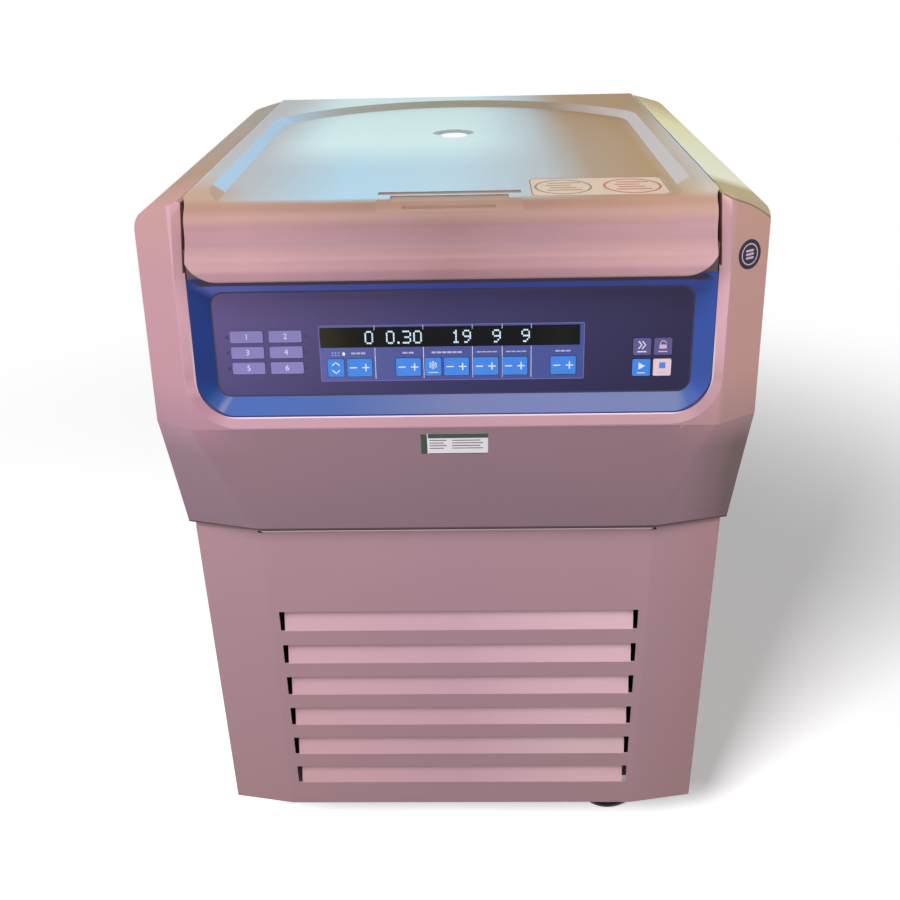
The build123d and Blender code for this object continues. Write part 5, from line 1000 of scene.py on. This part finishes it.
# ------------------------------------------------------------------ labels
LABEL = (80.0, 217.0, -291.0, -214.0)  # on the lid, u0, u1, v0, v1
LABEL_INK = 0.22  # height of the print above the surface under a label
printed("lid_label", [[pad(*LABEL, 9.0, 8)]], lid_floor, 0.05, cream, "lid", thick=0.15)
border = [pad(*grown(LABEL, -0.8), 8.4, 8), pad(*grown(LABEL, -1.8), 7.6, 8)]
printed("lid_label_border", [border], lid_floor, LABEL_INK, border_ink, "lid")
RING_V, ROW_FEET = -253.0, (-268, -258, -248, -238)
for name, centre, finish in (("left", 113.5, olive_ink), ("right", 182.5, red_ink)):
    rings = [[ring_loop(centre, RING_V, 29.0, 31.0), ring_loop(centre, RING_V, 26.6, 28.4)]]
    printed(f"lid_label_ring_{name}", rings, lid_floor, LABEL_INK, finish, "lid")
    rows = [
        pad(centre - 17 + 3 * (k % 2), centre + 18 - 5 * (k % 3), low, low + 3.0, 0.8, 3)
        for k, low in enumerate(ROW_FEET)
    ]
    printed(f"lid_label_centre_{name}", single(rows), lid_floor, LABEL_INK, finish, "lid")

SERVICE = (-34.4, 36.1, -34.0, -8.0)  # the small label on the apron
left, right, low, high = SERVICE
printed("service_label", [[pad(*SERVICE, 1.0, 3)]], apron, 0.05, label_white, thick=0.15)
bands = [
    pad(left, left + 6.5, low, high), pad(left + 7.5, right, high - 5.6, high), pad(left + 7.5, right, low, low + 0.7),
]
printed("service_label_bands", single(bands), apron, LABEL_INK, green_ink)
rows = []
for k in range(4):
    foot = high - 9.0 - k * 3.4
    rows.append(pad(left + 9.0, left + 27.0 - 3 * (k % 2), foot, foot + 1.0))
    rows.append(pad(left + 33.0, right - 8.0 + 3 * (k % 2), foot, foot + 1.0))
printed("service_label_rows", single(rows), apron, LABEL_INK, dark_ink)


def face_matrix(node, place, inward):
    """A plane on the surface of a node, met from a place: z along its normal, x level."""
    _, spot, normal, _ = nodes[node].ray_cast(Vector(place), Vector(inward).normalized())
    level = Vector((-normal.y, normal.x, 0)).normalized()
    made = Matrix((level, normal.cross(level), normal)).transposed().to_4x4()
    made.translation = spot
    return made


pillar = face_matrix("front_fascia", (0.3159, -0.3241, 0.8062), (-0.55, 0.83, 0))
DISC_INK = 0.28
printed("pillar_disc", [[ring_loop(0, 0, 15.2, 14.8)]], pillar, 0.05, disc_dark, thick=0.2)
ring = [ring_loop(0, 0, 11.2, 10.9), ring_loop(0, 0, 9.9, 9.6)]
printed("pillar_disc_ring", [ring], pillar, DISC_INK, mauve_ink)
bars = [pad(-5.4, 5.4, v - 1.1, v + 1.1, 0.9, 3) for v in (-3.6, 0.0, 3.6)]
printed("pillar_disc_bars", single(bars), pillar, DISC_INK, mauve_ink)


# ------------------------------------------------------------------ strips below the housing, in millimetres
def infill(name, path, low, high, finish):
    """An upright strip, 1 mm thick towards the middle of the cabinet, along a path of x, y points."""
    corners = []
    for x, y in path:
        for px, py in ((x, y), (x - math.copysign(1.0, x), y + 1.0)):
            corners += [(px * MM, py * MM, low * MM), (px * MM, py * MM, high * MM)]
    faces = [(0, 1, 3, 2)]
    for k in range(len(path) - 1):
        a, b = 4 * k, 4 * k + 4
        faces += [(a, b, b + 1, a + 1), (a + 2, a + 3, b + 3, b + 2)]
        faces += [(a + 1, b + 1, b + 3, a + 3), (a, a + 2, b + 2, b)]
    last = 4 * len(path) - 4
    faces.append((last, last + 2, last + 3, last + 1))
    mesh = bpy.data.meshes.new(name)
    mesh.from_pydata(corners, [], faces)
    shape = bmesh.new()
    shape.from_mesh(mesh)
    bmesh.ops.recalc_face_normals(shape, faces=shape.faces)
    shape.to_mesh(mesh)
    shape.free()
    add_piece(name, mesh, finish, "cabinet")


WING_START, WING_DROP = 223.0, 13.5  # where the cover bends back at its sides, and how far it goes
cover_y, cover_half, cover_top = (round(value / MM, 3) for value in (cover_low.y, cover_high.x, COVER_TOP))
strip_foot, strip_top = cover_top - 0.1, round(HOUSING_FOOT / MM, 3) - 0.1
bend_y, wing_x = cover_y + 0.2, cover_half - 0.4
for side, hand in ((-1, "left"), (1, "right")):
    path = [(side * WING_START, bend_y), (side * wing_x, cover_y + WING_DROP + 0.1), (side * wing_x, -236.0)]
    infill(f"wing_strip_{hand}", path, strip_foot, strip_top, wing_paint)
# painted highlight: a thin light strip where the lower cover's folded top edge catches the light
edge = pad(0.5 - WING_START, WING_START - 0.5, cover_top - 1.5, cover_top - 0.2)
printed("cover_top_highlight", single([edge]), cover_front, 0.03, painted_highlight_pink)

# ------------------------------------------------------------------ floor
FLOOR_HALF = 12
floor_mesh = bpy.data.meshes.new("floor")
floor_corners = [(x * FLOOR_HALF, y * FLOOR_HALF, 0) for x, y in ((-1, -1), (1, -1), (1, 1), (-1, 1))]
floor_mesh.from_pydata(floor_corners, [], [(0, 1, 2, 3)])
floor = bpy.data.objects.new("floor", floor_mesh)
scene.collection.objects.link(floor)
ground = Finish("floor", (0.35, 0.35, 0.35), 0.9, specular=0.1).speckle(0.004, 2.0)
away = ground.node("ShaderNodeVectorMath", operation="LENGTH")
ground.link(ground.source(), away.inputs[0])
matt = ground.node("ShaderNodeBsdfDiffuse")
matt.inputs["Color"].default_value = WHITE
base_glow = ground.node("ShaderNodeEmission", Strength=0.345)
near_floor = ground.node("ShaderNodeAddShader")
ground.link(matt.outputs["BSDF"], near_floor.inputs[0])
ground.link(base_glow.outputs["Emission"], near_floor.inputs[1])
bright = ground.node("ShaderNodeEmission", Strength=1.0)
fade = ground.node("ShaderNodeMixShader")
ground.link(ground.span(away.outputs["Value"], 0.7, 2.1), fade.inputs["Fac"])
ground.link(near_floor.outputs["Shader"], fade.inputs[1])
ground.link(bright.outputs["Emission"], fade.inputs[2])
by_ray = ground.node("ShaderNodeMixShader")
ground.link(direct_view(ground.tree), by_ray.inputs["Fac"])
ground.link(ground.bsdf.outputs["BSDF"], by_ray.inputs[1])
ground.link(fade.outputs["Shader"], by_ray.inputs[2])
ground.link(by_ray.outputs["Shader"], ground.tree.nodes["Material Output"].inputs["Surface"])
floor_mesh.materials.append(ground.mat)

# The floor has its own lamp, so that the shadow lies to the right of the machine
only_floor = bpy.data.collections.new("only_floor")
only_floor.objects.link(floor)
all_but_floor = bpy.data.collections.new("all_but_floor")
all_but_floor.objects.link(floor)
all_but_floor.collection_objects[0].light_linking.link_state = "EXCLUDE"
for light in scene.objects:
    if light.type == "LIGHT":
        light.light_linking.receiver_collection = only_floor if light == floor_light else all_but_floor
